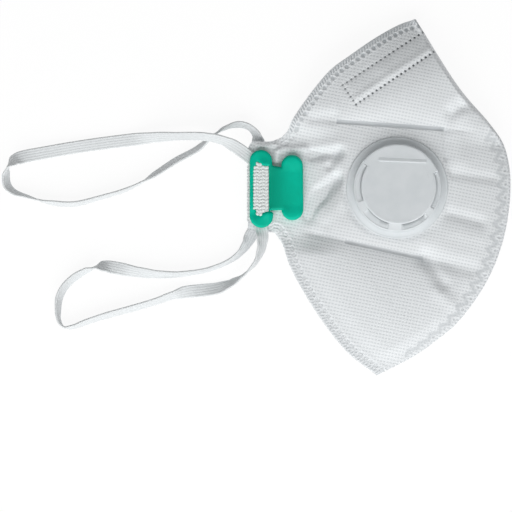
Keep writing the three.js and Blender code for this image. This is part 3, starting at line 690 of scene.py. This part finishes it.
# strap clips (millimetres)
clipValues = {
    "underside": 9.2, "footFrom": -46.5, "footUnder": 7.66, "height": 2.0,
    "edgeHeight": 1.35, "edgeRound": 0.5,
    "lobeX": -52.35, "upperLobeY": 15.75, "lobeRadius": 4.95, "lowerLobeY": -8.3, "lowerLobeHigh": 5.2,
    "hookX": -47.9, "hookY": -7.5, "hookRadius": 1.0,
    "padX": -38.6, "padTopY": 13.7, "padBottomY": -5.4, "padRadius": 4.8, "padFrom": -44.5,
    "padDish": 0.5, "padHollow": 0.2, "dishAbove": 10.5, "dishBelow": -3.0, "barTo": -55.4, "barRise": 0.1,
    "neckDip": 0.35,
    # where the web lies, which also bounds the painted shade on the clip
    "webFrom": -49.5, "webTo": -37.5, "webRun": 11,
    "grid": 0.3, "slot": "clip_plastic",
}
# swellings and hollows of the clip's upper face
clipHumps = [
    # x       y   height radius
    (-50.8,  13.2,  1.2,  3.0),
    (-49.6,  -7.4,  0.8,  3.0),
    (-54.9,  -7.2, -0.9,  2.2),
    (-55.5,  17.0, -0.25, 3.0),
]
# the strap's window, round from its upper tip
windowRows = [(-53.6, 15.3), (-55.0, 13.1), (-55.5, 10.6), (-55.7, 6.0), (-55.7, -1.0), (-55.4, -4.4),
              (-54.2, -6.3), (-52.8, -8.2), (-51.7, -7.2), (-50.5, -6.6), (-48.95, -6.3),
              (-48.85, -4.0), (-48.85, 10.0), (-48.9, 13.7), (-50.7, 13.7), (-52.2, 14.2)]
turnLevel = 11.2    # the lower clip lies as the upper one, turned over about half of this height

def clipLoops(v):
    x, r = v["lobeX"], v["lobeRadius"]
    pad, padR = v["padX"], v["padRadius"]
    lower = arcPoints(0, 0, 1, 180, 350, 30) * (r + 0.2, v["lowerLobeHigh"]) + (x + 0.2, v["lowerLobeY"])
    outline = np.vstack([
        lower,
        arcPoints(v["hookX"], v["hookY"], v["hookRadius"], 15, 90, 6),
        [(-48.6, -6.35), (-48.3, -5.95), (pad - padR + 0.3, -5.75)],
        arcPoints(pad + 0.1, v["padBottomY"], padR, 188, 360, 24),
        arcPoints(pad - 0.1, v["padTopY"], padR, 0, 184, 24),
        [(pad - padR, 13.2), (-47.2, 13.8), (-47.35, 14.6)],
        arcPoints(x, v["upperLobeY"], r, 0, 180, 26),
    ])
    return [evenSpacing(closedLine(line), v["grid"])[:-1] for line in (outline, np.array(windowRows))]

def turnOver(points, lowest):
    points = points * (1, 1, -1) + (bodyValues["backShiftX"], bodyValues["backShiftY"], turnLevel)
    points[:, 2] = np.maximum(points[:, 2], lowest)
    return points

def makeClip(name, node, front, v):
    loops = clipLoops(v)
    closed = [closedLine(loop) for loop in loops]
    grid, _, _ = latticePoints(np.arange(-60, 90), np.arange(-220, -90), v["grid"])
    edge = np.minimum(nearestOnLine(grid, closed[0])[0], nearestOnLine(grid, closed[1])[0])
    inside = insideLoop(grid, loops[0]) & ~insideLoop(grid, loops[1]) & (edge > v["grid"] * 0.6)
    points, faces = triangles(loops, grid[inside])
    edge = np.minimum(nearestOnLine(points, closed[0])[0], nearestOnLine(points, closed[1])[0])
    share = 1 - np.exp(-((edge / v["edgeRound"]) ** 1.3))
    high = blendTo(v["edgeHeight"], v["height"], share)
    x, y = points.T
    if front:
        for humpX, humpY, height, radius in clipHumps:
            high += height * np.exp(-((x - humpX) ** 2 + (y - humpY) ** 2) / radius ** 2)
        dish = smoothStep((y - v["dishAbove"]) / 5.5) + smoothStep((v["dishBelow"] - y) / 5.0)
        onPad = smoothStep((x - v["padFrom"]) / 3)
        onBar = 1 - smoothStep((x - v["barTo"]) / 1.5)
        high += onPad * (v["padDish"] * dish * share - v["padHollow"] * (1 - dish)) + v["barRise"] * onBar
        neck = smoothStep((-44.6 - x) / 3.5) * smoothStep((x + 49) / 1.5) * smoothStep((14 - y) / 2)
        high -= v["neckDip"] * neck
    under = blendTo(v["underside"], v["footUnder"], smoothStep((x - v["footFrom"]) / 0.5 + 0.5))
    top = np.column_stack([points, v["underside"] + high])
    bottom = np.column_stack([points, under])
    if not front:
        top, bottom = turnOver(top, 0), turnOver(bottom, 0)
    allPoints, allFaces = joinSheets(top * mm, faces, bottom * mm, faces, loops)
    if not front:
        allFaces = [face[::-1] for face in allFaces]
    piece = makeObject(name, allPoints, allFaces, sharpAngle=55)
    # the web beside the window is thinner, and its colour is deepened there with painted shade, which fades
    # out over the pad
    web = smoothStep((v["webTo"] - x) / v["webRun"]) * smoothStep((x - v["webFrom"]) / 1.2)
    web *= smoothStep((y + 7) / 3) * smoothStep((15.5 - y) / 3)
    addAttribute(piece, "webShadeMask", np.concatenate([web, web]))
    standFor(piece, node)
    print(name, "has", len(allFaces), "faces")
    return piece

frontClip = makeClip("upper_clip", "front_clip", True, clipValues)
backClip = makeClip("lower_clip", "back_clip", False, clipValues)

# the relaxed knit of the headband, where it shows in the clips (millimetres)
knitValues = {
    "columns": (-57.35, -56.2, -55.1, -53.85, -52.45, -51.1, -49.6),    # x of each column of loops
    "fromY": -9.0, "pitchY": 1.465, "rows": 17, "stagger": 0.1, "jitter": 0.06,
    "length": 1.8, "width": 1.35, "high": 0.9, "lean": 34,
    "level": 10.6, "crown": 0.5, "halfWide": 3.6,       # the knit bulges by the crown in the window
    "overlap": 0.4, "hiddenLevel": 8.62,                # and lies this low where the clip covers it
    "middle": (-52.2, 3.7), "backingSize": (0.97, 0.985), "backingUnder": 8.95, "backingRise": 0.12,
    "backingX": (-55.5, -48.8, 0.55), "backingY": (-8, 15, 0.8),    # its grid: from, to and step
    "sides": 10, "rings": 7, "floorGap": 0.02, "slot": "elastic",
}

def makeBead(sides, rings):
    # a small ball: its corners, and its faces from the top down
    theta = np.linspace(0, 2 * np.pi, sides, endpoint=False)
    phi = np.linspace(0, np.pi, rings)[1:-1]
    bead = [np.array([0, 0, 1.0])]
    for p in phi:
        bead += [(math.sin(p) * math.cos(t), math.sin(p) * math.sin(t), math.cos(p)) for t in theta]
    bead = np.array(bead + [np.array([0, 0, -1.0])])
    around = [(k, (k + 1) % sides) for k in range(sides)]
    faces = [[0, 1 + k, 1 + after] for k, after in around]
    for ring in range(len(phi) - 1):
        a = 1 + ring * sides
        faces += [[a + k, a + sides + k, a + sides + after, a + after] for k, after in around]
    last, a = len(bead) - 1, 1 + (len(phi) - 1) * sides
    faces += [[last, a + after, a + k] for k, after in around]
    return bead, faces

def makeKnit(name, front, v):
    bead, beadFaces = makeBead(v["sides"], v["rings"])
    bead = bead * (np.array([v["width"], v["length"], v["high"]]) / 2)
    middleX = v["middle"][0]
    window = np.array(windowRows)
    points, faces = [], []
    for column, x in enumerate(v["columns"]):
        lean = math.radians(v["lean"] * (1 if column % 2 else -1))
        turned = np.column_stack([
            bead[:, 0] * math.cos(lean) - bead[:, 1] * math.sin(lean),
            bead[:, 0] * math.sin(lean) + bead[:, 1] * math.cos(lean),
            bead[:, 2],
        ])
        for row in range(v["rows"]):
            y = v["fromY"] + (row + v["stagger"] * (column % 2)) * v["pitchY"]
            jitter = randomNumbers.uniform(-v["jitter"], v["jitter"], 3)
            level = v["hiddenLevel"]
            spot = np.array([(x, y)])
            if insideLoop(spot, window)[0] or nearestOnLine(spot, window)[0][0] < v["overlap"]:
                level = v["level"] + v["crown"] * (1 - ((x - middleX) / v["halfWide"]) ** 2) + jitter[2]
            faces += [[len(points) + k for k in face] for face in beadFaces]
            points += (turned + (x + jitter[0], y + jitter[1], level)).tolist()
    # the closed knit behind the loops
    size = np.array(v["backingSize"])
    loop = evenSpacing(closedLine(window), 0.5)[:-1] * size + np.array(v["middle"]) * (1 - size)
    grid = np.stack(np.meshgrid(np.arange(*v["backingX"]), np.arange(*v["backingY"])), axis=-1)
    grid = grid.reshape(-1, 2)
    grid = grid[insideLoop(grid, loop) & (nearestOnLine(grid, loop)[0] > 0.2)]
    flat, backing = triangles([loop], grid)
    bulge = v["crown"] * (1 - ((flat[:, 0] - middleX) / v["halfWide"]) ** 2)
    top = np.column_stack([flat, v["level"] + v["backingRise"] + bulge])
    under = np.column_stack([flat, np.full(len(flat), v["backingUnder"])])
    backing, backingFaces = joinSheets(top, backing, under, backing, [loop])
    faces += (np.array(backingFaces) + len(points)).tolist()
    points = np.vstack([np.array(points), backing])
    if not front:
        points = turnOver(points, v["floorGap"])    # pressed flat where it meets the floor
        faces = [face[::-1] for face in faces]
    piece = makeObject(name, points * mm, faces, sharpAngle=80)
    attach(piece, "root")
    print(name, "has", len(faces), "faces")
    return piece

frontKnit = makeKnit("upper_window_knit", True, knitValues)
backKnit = makeKnit("lower_window_knit", False, knitValues)

# exhalation valve (millimetres, about its own middle, heights above its seat on the cloth)
valveValues = {
    "segments": 180, "wall": 0.9, "capRadius": 19.2, "capFoot": 1.64,
    "discRadius": 16.4, "discX": 0.45, "discY": 0.5,     # the disc stands a little off the middle
    "discTop": 5.5, "discSunk": 0.08, "ventOuter": 18.45, "topFrom": 24, "topTo": 147,
    "ribLength": 20.9, "ribX": 1.6, "ribY": 11.5,
    "seatGap": 0.16, "seatTop": 4.0, "rampRise": 0.85,
    "ramp": 3.2,             # degrees over which a vent's floor rises at each end
    "step": 2.0,             # degrees over which the crest steps up at each end
    "hub": 2.5, "port": 12.5, "spoke": 14, "slot": "valve_plastic",
}
# section of the bar on the disc, across it: y and height, steep towards the chin
ribSection = [(-0.45, -0.3), (-0.4, 0.0), (-0.1, 0.32), (0.05, 0.34), (0.6, 0.18), (1.4, 0.0), (1.45, -0.3)]
ventRows = [(-28.0, 24.0), (147.0, 203.0), (217.5, 259.4), (278.3, 319.0)]  # degrees

def addSolidify(piece, thickness, bevel):
    solidify = piece.modifiers.new("thickness", "SOLIDIFY")
    solidify.thickness = thickness * mm
    solidify.offset = -1
    solidify.use_even_offset = True
    edge = piece.modifiers.new("edges", "BEVEL")
    edge.width = bevel * mm
    edge.segments = 2
    edge.limit_method = "ANGLE"
    edge.angle_limit = math.radians(45)
    applyModifiers(piece)
    piece.data.polygons.foreach_set("use_smooth", [True] * len(piece.data.polygons))
    piece.data.set_sharp_from_angle(angle=math.radians(40))

def polarSheet(name, profileAt, angles, openCell):
    # a surface of revolution whose profile may change with the angle, with some cells left open
    grid = np.array([profileAt(angle) for angle in angles])
    turns, count = grid.shape[:2]
    cosine, sine = np.cos(np.radians(angles)), np.sin(np.radians(angles))
    points = np.stack([grid[..., 0] * cosine[:, None], grid[..., 0] * sine[:, None], grid[..., 1]], axis=-1)
    points = points[:, :-1].reshape(-1, 3).tolist() + [[0, 0, float(grid[0, -1, 1])]]
    rings = count - 1
    faces = []
    for k in range(turns):
        after = (k + 1) % turns
        middle = angles[k] + ((angles[after] - angles[k]) % 360) / 2
        for s in range(rings - 1):
            if not openCell(s, middle):
                faces.append([k * rings + s, after * rings + s, after * rings + s + 1, k * rings + s + 1])
        faces.append([k * rings + rings - 1, after * rings + rings - 1, turns * rings])
    used = sorted({index for face in faces for index in face})
    number = {old: new for new, old in enumerate(used)}
    kept = np.array([points[k] for k in used]) * mm
    return makeObject(name, kept, [[number[k] for k in face] for face in faces])

def allAngles(segments, stops):
    # even angles, with the given ones exactly among them
    even = np.arange(0, 360, 360 / segments)
    stops = np.array(stops) % 360
    nearStop = np.abs((even[:, None] - stops[None, :] + 180) % 360 - 180).min(axis=1) < 0.6
    return np.sort(np.concatenate([even[~nearStop], stops]))

def betweenDegrees(angle, fromDeg, toDeg):
    return (angle - fromDeg) % 360 < (toDeg - fromDeg) % 360

def placeOnValve(piece, node):
    turn = math.radians(valvePlace["turn"])
    piece.rotation_euler = (0, 0, turn)
    piece.location = (valvePlace["x"] * mm, valvePlace["y"] * mm, valvePlace["plane"] * mm)
    bpy.context.view_layer.update()
    piece.data.transform(piece.matrix_world)
    piece.matrix_world.identity()
    bpy.context.view_layer.update()
    standFor(piece, node)

def joinInto(piece, others):
    parts = [piece] + others
    points, faces = [], []
    for part in parts:
        first = len(points)
        points += [vertex.co[:] for vertex in part.data.vertices]
        faces += [[first + k for k in polygon.vertices] for polygon in part.data.polygons]
    name = piece.name
    for part in parts:
        bpy.data.objects.remove(part)
    return makeObject(name, np.array(points), faces, sharpAngle=40)

def inVent(angle, inset=0.0):
    return any(betweenDegrees(angle, start + inset, end - inset) for start, end in ventRows)

def discEdge(angle, v):
    # distance from the valve's middle to the rim of the disc
    cosine, sine = math.cos(math.radians(angle)), math.sin(math.radians(angle))
    across = v["discX"] * sine - v["discY"] * cosine
    return v["discX"] * cosine + v["discY"] * sine + math.sqrt(v["discRadius"] ** 2 - across ** 2)

def makeCover(v):
    def profileAt(angle):
        # radius and height, from the foot over the shoulder, or over the higher crest, to the middle
        toTop = smoothStep((angle - v["topFrom"]) / v["step"]) * smoothStep((v["topTo"] - angle) / v["step"])
        disc, top = discEdge(angle, v), v["discTop"]
        sunk = top - v["discSunk"]
        foot = [(v["capRadius"], v["capFoot"]), (v["capRadius"], 2.8)]
        shoulder = [(v["capRadius"], 3.9), (19.12, 4.14), (18.95, 4.25), (v["ventOuter"], 4.33),
                    (disc + 0.12, 4.95), (disc + 0.04, 5.08), (disc, 5.26), (disc - 0.16, 5.4),
                    (disc - 0.5, top), (disc - 1.2, sunk)]
        crest = [(v["capRadius"], 3.9), (19.2, 4.3), (19.16, 4.7), (19.1, 4.95), (19.0, 5.14), (18.9, 5.24),
                 (18.75, 5.36), (18.5, 5.45), (18.1, 5.48), (17.5, sunk)]
        rest = [(radius, sunk) for radius in (14, 11.5, 9, 6.5, 4, 2, 0)]
        return np.array(foot + blendTo(np.array(shoulder), np.array(crest), float(toTop)).tolist() + rest)
    angles = allAngles(v["segments"], [a for row in ventRows for a in row])
    cover = polarSheet("valve_cover", profileAt, angles, lambda ring, middle: ring == 5 and inVent(middle))
    addSolidify(cover, v["wall"], 0.08)
    half = v["ribLength"] / 2
    count = len(ribSection)
    ribPoints = [(v["ribX"] + side * half, v["ribY"] + y, v["discTop"] - v["discSunk"] + z)
                 for side in (-1, 1) for y, z in ribSection]
    ribFaces = [[k, k + 1, count + k + 1, count + k] for k in range(count - 1)]
    ribFaces.append([count - 1, 0, count, 2 * count - 1])
    ribFaces += [list(range(count))[::-1], list(range(count, 2 * count))]
    rib = makeObject("rib", np.array(ribPoints) * mm, [face[::-1] for face in ribFaces])
    cover = joinInto(cover, [rib])
    placeOnValve(cover, "valve_cap")
    print("valve cover has", len(cover.data.polygons), "faces")
    return cover

def makeFlange(v):
    # the flange, the seat ring that shows in the vents, and the web with its four ports,
    # as pairs of radius and height
    outer = [(22.2, 0.2), (22.25, 0.5), (22.15, 0.7), (21.98, 0.78), (21.75, 0.78), (21.5, 0.8),
             (21.0, 0.96), (20.2, 1.26), (19.35, 1.59), (18.2, 1.6)]
    inner = [(16.0, 0.55), (14.6, 0.5), (14.4, -0.2), (14.4, -1.0), (16.7, -1.0), (16.7, 0.2)]
    stops = [edge for start, end in ventRows for edge in (start + 0.1, start + 0.2, end - 0.2, end - 0.1)]
    angles = allAngles(v["segments"], stops)
    turns = len(angles)
    points = []
    for angle in angles:
        near = discEdge(angle, v) + v["seatGap"]
        toEnd = min(min((angle - start) % 360, (end - angle) % 360) for start, end in ventRows)
        nearTop = v["seatTop"] + v["rampRise"] * max(0, 1 - toEnd / v["ramp"])
        seat = [(18.2, 3.4), (18.42, 3.5), (18.42, 4.12), (18.3, 4.2), (near + 0.1, nearTop),
                (near, nearTop - 0.1), (near, 2.5)]
        low = [(18.2, 2.7), (18.2, 2.8), (18.2, 2.9), (18.1, 3.0), (near + 0.1, 3.0), (near, 2.9),
               (near, 2.5)]
        cosine, sine = math.cos(math.radians(angle)), math.sin(math.radians(angle))
        ring = outer + (seat if inVent(angle, 0.15) else low) + inner
        points += [(r * cosine, r * sine, z) for r, z in ring]
    n = len(ring)
    faces = [[k * n + s, (k + 1) % turns * n + s, (k + 1) % turns * n + (s + 1) % n, k * n + (s + 1) % n]
             for k in range(turns) for s in range(n)]
    flange = makeObject("valve_flange", np.array(points) * mm, faces)
    radii = [14.5, 13.5, v["port"], 10, 7.5, 5, v["hub"], 1.2, 0]
    stops = [90 * k + side * v["spoke"] / 2 for k in range(4) for side in (-1, 1)]
    def isPort(ring, angle):
        fromSpoke = abs((angle + 45) % 90 - 45)
        return 2 <= ring <= 5 and fromSpoke >= v["spoke"] / 2
    web = polarSheet("web", lambda angle: np.array([(r, 0.3) for r in radii]), allAngles(72, stops), isPort)
    addSolidify(web, 1.2, 0.1)
    flange = joinInto(flange, [web])
    placeOnValve(flange, "valve_seat")
    print("valve flange has", len(flange.data.polygons), "faces")
    return flange

cover = makeCover(valveValues)
flange = makeFlange(valveValues)

def newGroup(name, inputs, outputs):
    # an effect that several materials share: its inputs are a vector or numbers
    group = bpy.data.node_groups.new(name, "ShaderNodeTree")
    for label, value in inputs.items():
        kind = "NodeSocketVector" if value is None else "NodeSocketFloat"
        socket = group.interface.new_socket(label, in_out="INPUT", socket_type=kind)
        if value is not None:
            socket.default_value = value
    for label in outputs:
        group.interface.new_socket(label, in_out="OUTPUT", socket_type="NodeSocketFloat")
    return group, group.nodes.new("NodeGroupInput").outputs, group.nodes.new("NodeGroupOutput").inputs

def addNode(tree, kind, inputs=None, **settings):
    node = tree.nodes.new(kind)
    for name, value in settings.items():
        setattr(node, name, value)
    for name, value in (inputs or {}).items():
        if isinstance(value, bpy.types.NodeSocket):
            tree.links.new(value, node.inputs[name])
        else:
            node.inputs[name].default_value = value
    return node

def calc(tree, operation, *values):
    return addNode(tree, "ShaderNodeMath", dict(enumerate(values)), operation=operation).outputs[0]

def makeLatticeGroup():
    # small pressed dashes on a turned square lattice, seen from above
    group, start, end = newGroup("pressedLattice", {
        "Vector": None, "Pitch": 0.00145, "Turn": -0.2, "Long": 0.35, "Wide": 0.21, "Wander": 0.00025,
    }, ["Dots"])
    wander = addNode(group, "ShaderNodeTexNoise", {"Vector": start["Vector"], "Scale": 60.0, "Detail": 1.0})
    def vectorMath(operation, inputs):
        return addNode(group, "ShaderNodeVectorMath", inputs, operation=operation).outputs[0]
    centred = vectorMath("SUBTRACT", {0: wander.outputs["Color"], 1: (0.5, 0.5, 0.5)})
    moved = vectorMath("SCALE", {0: centred, "Scale": start["Wander"]})
    moved = vectorMath("ADD", {0: start["Vector"], 1: moved})
    turned = addNode(group, "ShaderNodeVectorRotate", {"Vector": moved, "Angle": start["Turn"]},
                     rotation_type="Z_AXIS")
    parts = addNode(group, "ShaderNodeSeparateXYZ", {0: turned.outputs[0]})
    offsets = []
    for axis, reach in (("X", "Long"), ("Y", "Wide")):
        cell = calc(group, "DIVIDE", parts.outputs[axis], start["Pitch"])
        fromMiddle = calc(group, "SUBTRACT", calc(group, "FRACT", cell), 0.5)
        share = calc(group, "ABSOLUTE", calc(group, "DIVIDE", fromMiddle, start[reach]))
        offsets.append(calc(group, "POWER", share, 2.0))
    reach = calc(group, "ADD", *offsets)
    dots = addNode(group, "ShaderNodeMapRange", {"Value": reach, "From Min": 1.9, "From Max": 0.35},
                   interpolation_type="SMOOTHSTEP")
    group.links.new(dots.outputs["Result"], end["Dots"])
    return group

def makeGrainGroup():
    # fine uneven grain for cloth fibres and moulded plastic: a height and a wide soft mottling
    group, start, end = newGroup("surfaceGrain", {
        "Vector": None, "Fine": 3000.0, "Broad": 120.0}, ["Grain", "Mottle"])
    fine = addNode(group, "ShaderNodeTexNoise", {
        "Vector": start["Vector"], "Scale": start["Fine"], "Detail": 3.0, "Roughness": 0.6})
    broad = addNode(group, "ShaderNodeTexNoise", {
        "Vector": start["Vector"], "Scale": start["Broad"], "Detail": 2.0})
    group.links.new(fine.outputs["Fac"], end["Grain"])
    group.links.new(broad.outputs["Fac"], end["Mottle"])
    return group

def makeStitchGroup():
    # rows of slanted stitches along a band: across runs from -1 to 1, along in metres
    group, start, end = newGroup("bandStitches", {
        "Across": 0.0, "Along": 0.0, "Pitch": 0.0009, "Ribs": 5.0, "Slant": 0.6}, ["Stitch"])
    rib = calc(group, "MULTIPLY", calc(group, "ADD", start["Across"], 1.0), start["Ribs"])
    swing = calc(group, "MULTIPLY", calc(group, "PINGPONG", rib, 1.0), start["Slant"])
    slanted = calc(group, "ADD", calc(group, "DIVIDE", start["Along"], start["Pitch"]), swing)
    wave = calc(group, "SINE", calc(group, "MULTIPLY", slanted, 2 * math.pi))
    group.links.new(calc(group, "MULTIPLY", calc(group, "ADD", wave, 1.0), 0.5), end["Stitch"])
    return group

latticeGroup = makeLatticeGroup()
grainGroup = makeGrainGroup()
stitchGroup = makeStitchGroup()

def useGroup(tree, group, inputs):
    return addNode(tree, "ShaderNodeGroup", inputs, node_tree=group).outputs

def newMaterial(name, v):
    material = bpy.data.materials.new(name)
    material.use_nodes = True
    tree = material.node_tree
    sockets = tree.nodes["Principled BSDF"].inputs
    sockets["Roughness"].default_value = v["roughness"]
    sockets["Specular IOR Level"].default_value = v["specular"]
    sockets["Sheen Weight"].default_value = v.get("sheen", 0)
    place = tree.nodes.new("ShaderNodeTexCoord").outputs["Object"]
    return material, tree, sockets, place

def mixColours(tree, share, a, b):
    return addNode(tree, "ShaderNodeMix", {0: share, 6: a, 7: b}, data_type="RGBA").outputs[2]

def addBump(tree, height, distance, under=None):
    inputs = {"Height": height, "Distance": distance, "Strength": 1.0}
    if under:
        inputs["Normal"] = under
    return addNode(tree, "ShaderNodeBump", inputs).outputs["Normal"]

def readAttribute(tree, name):
    return addNode(tree, "ShaderNodeAttribute", attribute_name=name).outputs["Fac"]

clothFinish = {
    "white": (0.80, 0.825, 0.84, 1), "shade": (0.60, 0.63, 0.65, 1),
    "weld": (0.42, 0.45, 0.47, 1), "hole": (0.10, 0.11, 0.12, 1),
    "roughness": 0.9, "sheen": 0.15, "specular": 0.25,
    "dotTurn": 11.8, "dotShade": 0.66, "dotDepth": 0.00006,
    "fibre": 2600.0, "fibreDepth": 0.00002, "patches": 90.0, "patchShade": 0.12,
}

def makeCloth(v):
    material, tree, sockets, place = newMaterial("embossedNonwoven", v)
    dots = useGroup(tree, latticeGroup, {"Vector": place, "Turn": math.radians(v["dotTurn"])})["Dots"]
    grain = useGroup(tree, grainGroup, {"Vector": place, "Fine": v["fibre"], "Broad": v["patches"]})
    fused = readAttribute(tree, "fused")
    dots = calc(tree, "MULTIPLY", dots, calc(tree, "SUBTRACT", 1.0, fused))     # welded cloth has no dots
    colour = mixColours(tree, calc(tree, "MULTIPLY", dots, v["dotShade"]), v["white"], v["shade"])
    colour = mixColours(tree, calc(tree, "MULTIPLY", grain["Mottle"], v["patchShade"]), colour, v["shade"])
    colour = mixColours(tree, fused, colour, v["weld"])
    colour = mixColours(tree, readAttribute(tree, "hole"), colour, v["hole"])
    tree.links.new(colour, sockets["Base Color"])
    normal = addBump(tree, grain["Grain"], v["fibreDepth"])
    normal = addBump(tree, calc(tree, "SUBTRACT", 1.0, dots), v["dotDepth"], normal)
    tree.links.new(normal, sockets["Normal"])
    return material

# each plastic is mottled with its deeper colour, and the clip is deeper still on its thin web, where the
# colour carries painted shade
valveFinish = {
    "colour": (0.70, 0.735, 0.755, 1), "deep": (0.65, 0.69, 0.71, 1),
    "roughness": 0.36, "specular": 0.35, "grainDepth": 0.00002,
}
clipFinish = {
    "colour": (0.0, 0.53, 0.36, 1), "deep": (0.0, 0.47, 0.31, 1), "paintedWebShade": (0.0, 0.27, 0.165, 1),
    "paintedWebShadeShare": 0.75, "roughness": 0.42, "specular": 0.08, "grainDepth": 0.00002,
}

def makePlastic(name, v):
    material, tree, sockets, place = newMaterial(name, v)
    grain = useGroup(tree, grainGroup, {"Vector": place, "Fine": 900.0, "Broad": 140.0})
    share = addNode(tree, "ShaderNodeMapRange", {"Value": grain["Mottle"], "From Min": 0.35, "From Max": 0.7})
    colour = mixColours(tree, share.outputs["Result"], v["colour"], v["deep"])
    # painted shade: the web beside the clip's window is darkened in colour
    if "paintedWebShade" in v:
        paintedWebShade = calc(tree, "MULTIPLY", readAttribute(tree, "webShadeMask"), v["paintedWebShadeShare"])
        colour = mixColours(tree, paintedWebShade, colour, v["paintedWebShade"])
    tree.links.new(colour, sockets["Base Color"])
    tree.links.new(addBump(tree, grain["Grain"], v["grainDepth"]), sockets["Normal"])
    return material

# the groove colour is painted shade in the valleys between the ribs, and also the colour of the stitches
elasticFinish = {
    "white": (0.74, 0.765, 0.775, 1), "stitchAndGrooveShade": (0.50, 0.53, 0.55, 1),
    "grooveShadeShare": 0.5, "stitchShare": 0.06,
    "roughness": 0.8, "sheen": 0.2, "specular": 0.3, "stitchDepth": 0.00001,
}

def makeElastic(v):
    material, tree, sockets, place = newMaterial("ribbedElastic", v)
    stitches = useGroup(tree, stitchGroup, {
        "Across": readAttribute(tree, "bandAcross"), "Along": readAttribute(tree, "bandAlong")})["Stitch"]
    grain = useGroup(tree, grainGroup, {"Vector": place, "Fine": 3200.0, "Broad": 200.0})
    # painted shade: darker colour in the valleys between the ribs
    grooveShadeMask = calc(tree, "SUBTRACT", 1.0, readAttribute(tree, "bandRib"))
    colour = mixColours(tree, calc(tree, "MULTIPLY", grooveShadeMask, v["grooveShadeShare"]), v["white"], v["stitchAndGrooveShade"])
    colour = mixColours(tree, calc(tree, "MULTIPLY", stitches, v["stitchShare"]), colour, v["stitchAndGrooveShade"])
    tree.links.new(colour, sockets["Base Color"])
    normal = addBump(tree, grain["Grain"], v["stitchDepth"] / 3)
    normal = addBump(tree, stitches, v["stitchDepth"], normal)
    tree.links.new(normal, sockets["Normal"])
    return material

yarnFinish = {
    "white": (0.78, 0.82, 0.81, 1), "shade": (0.70, 0.745, 0.735, 1), "depth": 0.00002,
    "roughness": 0.85, "specular": 0.2,
}

def makeYarn(v):
    material, tree, sockets, place = newMaterial("elasticYarn", v)
    grain = useGroup(tree, grainGroup, {"Vector": place, "Fine": 4500.0, "Broad": 900.0})
    colour = mixColours(tree, calc(tree, "MULTIPLY", grain["Mottle"], 0.5), v["white"], v["shade"])
    tree.links.new(colour, sockets["Base Color"])
    tree.links.new(addBump(tree, grain["Grain"], v["depth"]), sockets["Normal"])
    return material

cloth = makeCloth(clothFinish)
valvePlastic = makePlastic("valvePlastic", valveFinish)
clipPlastic = makePlastic("clipPlastic", clipFinish)
elastic = makeElastic(elasticFinish)
yarn = makeYarn(yarnFinish)

for material, pieces in ((cloth, (frontHalf, backHalf)), (valvePlastic, (cover, flange)),
                         (clipPlastic, (frontClip, backClip)), (elastic, (upperBand, lowerBand)),
                         (yarn, (frontKnit, backKnit))):
    for piece in pieces:
        piece.data.materials.clear()
        piece.data.materials.append(material)
print("materials ready")

# floor and light
stageValues = {
    "floorSize": 3.0, "floorColour": (0.13, 0.13, 0.13, 1), "floorGlow": 0.89,
    "roughness": 0.9, "specular": 0.0, "sky": 0.22,
    "keyPlace": (-0.12, -1.04, 0.92), "keySize": (2.0, 1.4), "keyPower": 23.6,
    "topPlace": (0.1, 0.35, 1.6), "topSize": (1.4, 1.4), "topPower": 3.2,
    "aimedAt": (-0.05, 0, 0.01), "floorUnder": 0.05 * mm,
}

def makeStage(v):
    half = v["floorSize"] / 2
    corners = [(x * half, y * half, -v["floorUnder"]) for x, y in ((-1, -1), (1, -1), (1, 1), (-1, 1))]
    floor = makeObject("floor", corners, [[0, 1, 2, 3]], smooth=False)
    material, _, sockets, _ = newMaterial("paleFloor", v)
    sockets["Base Color"].default_value = v["floorColour"]
    sockets["Emission Color"].default_value = (1, 1, 1, 1)
    sockets["Emission Strength"].default_value = v["floorGlow"]
    floor.data.materials.append(material)
    world = bpy.data.worlds.new("studio")
    world.use_nodes = True
    sky = world.node_tree.nodes["Background"]
    sky.inputs["Color"].default_value = (1, 1, 1, 1)
    sky.inputs["Strength"].default_value = v["sky"]
    scene.world = world
    for name in ("key", "top"):
        data = bpy.data.lights.new(name, "AREA")
        data.shape = "RECTANGLE"
        data.size, data.size_y = v[name + "Size"]
        data.energy = v[name + "Power"]
        light = bpy.data.objects.new(name, data)
        light.location = v[name + "Place"]
        aim = Vector(v["aimedAt"]) - light.location
        light.rotation_euler = aim.to_track_quat("-Z", "Y").to_euler()
        scene.collection.objects.link(light)

makeStage(stageValues)
print("stage ready")
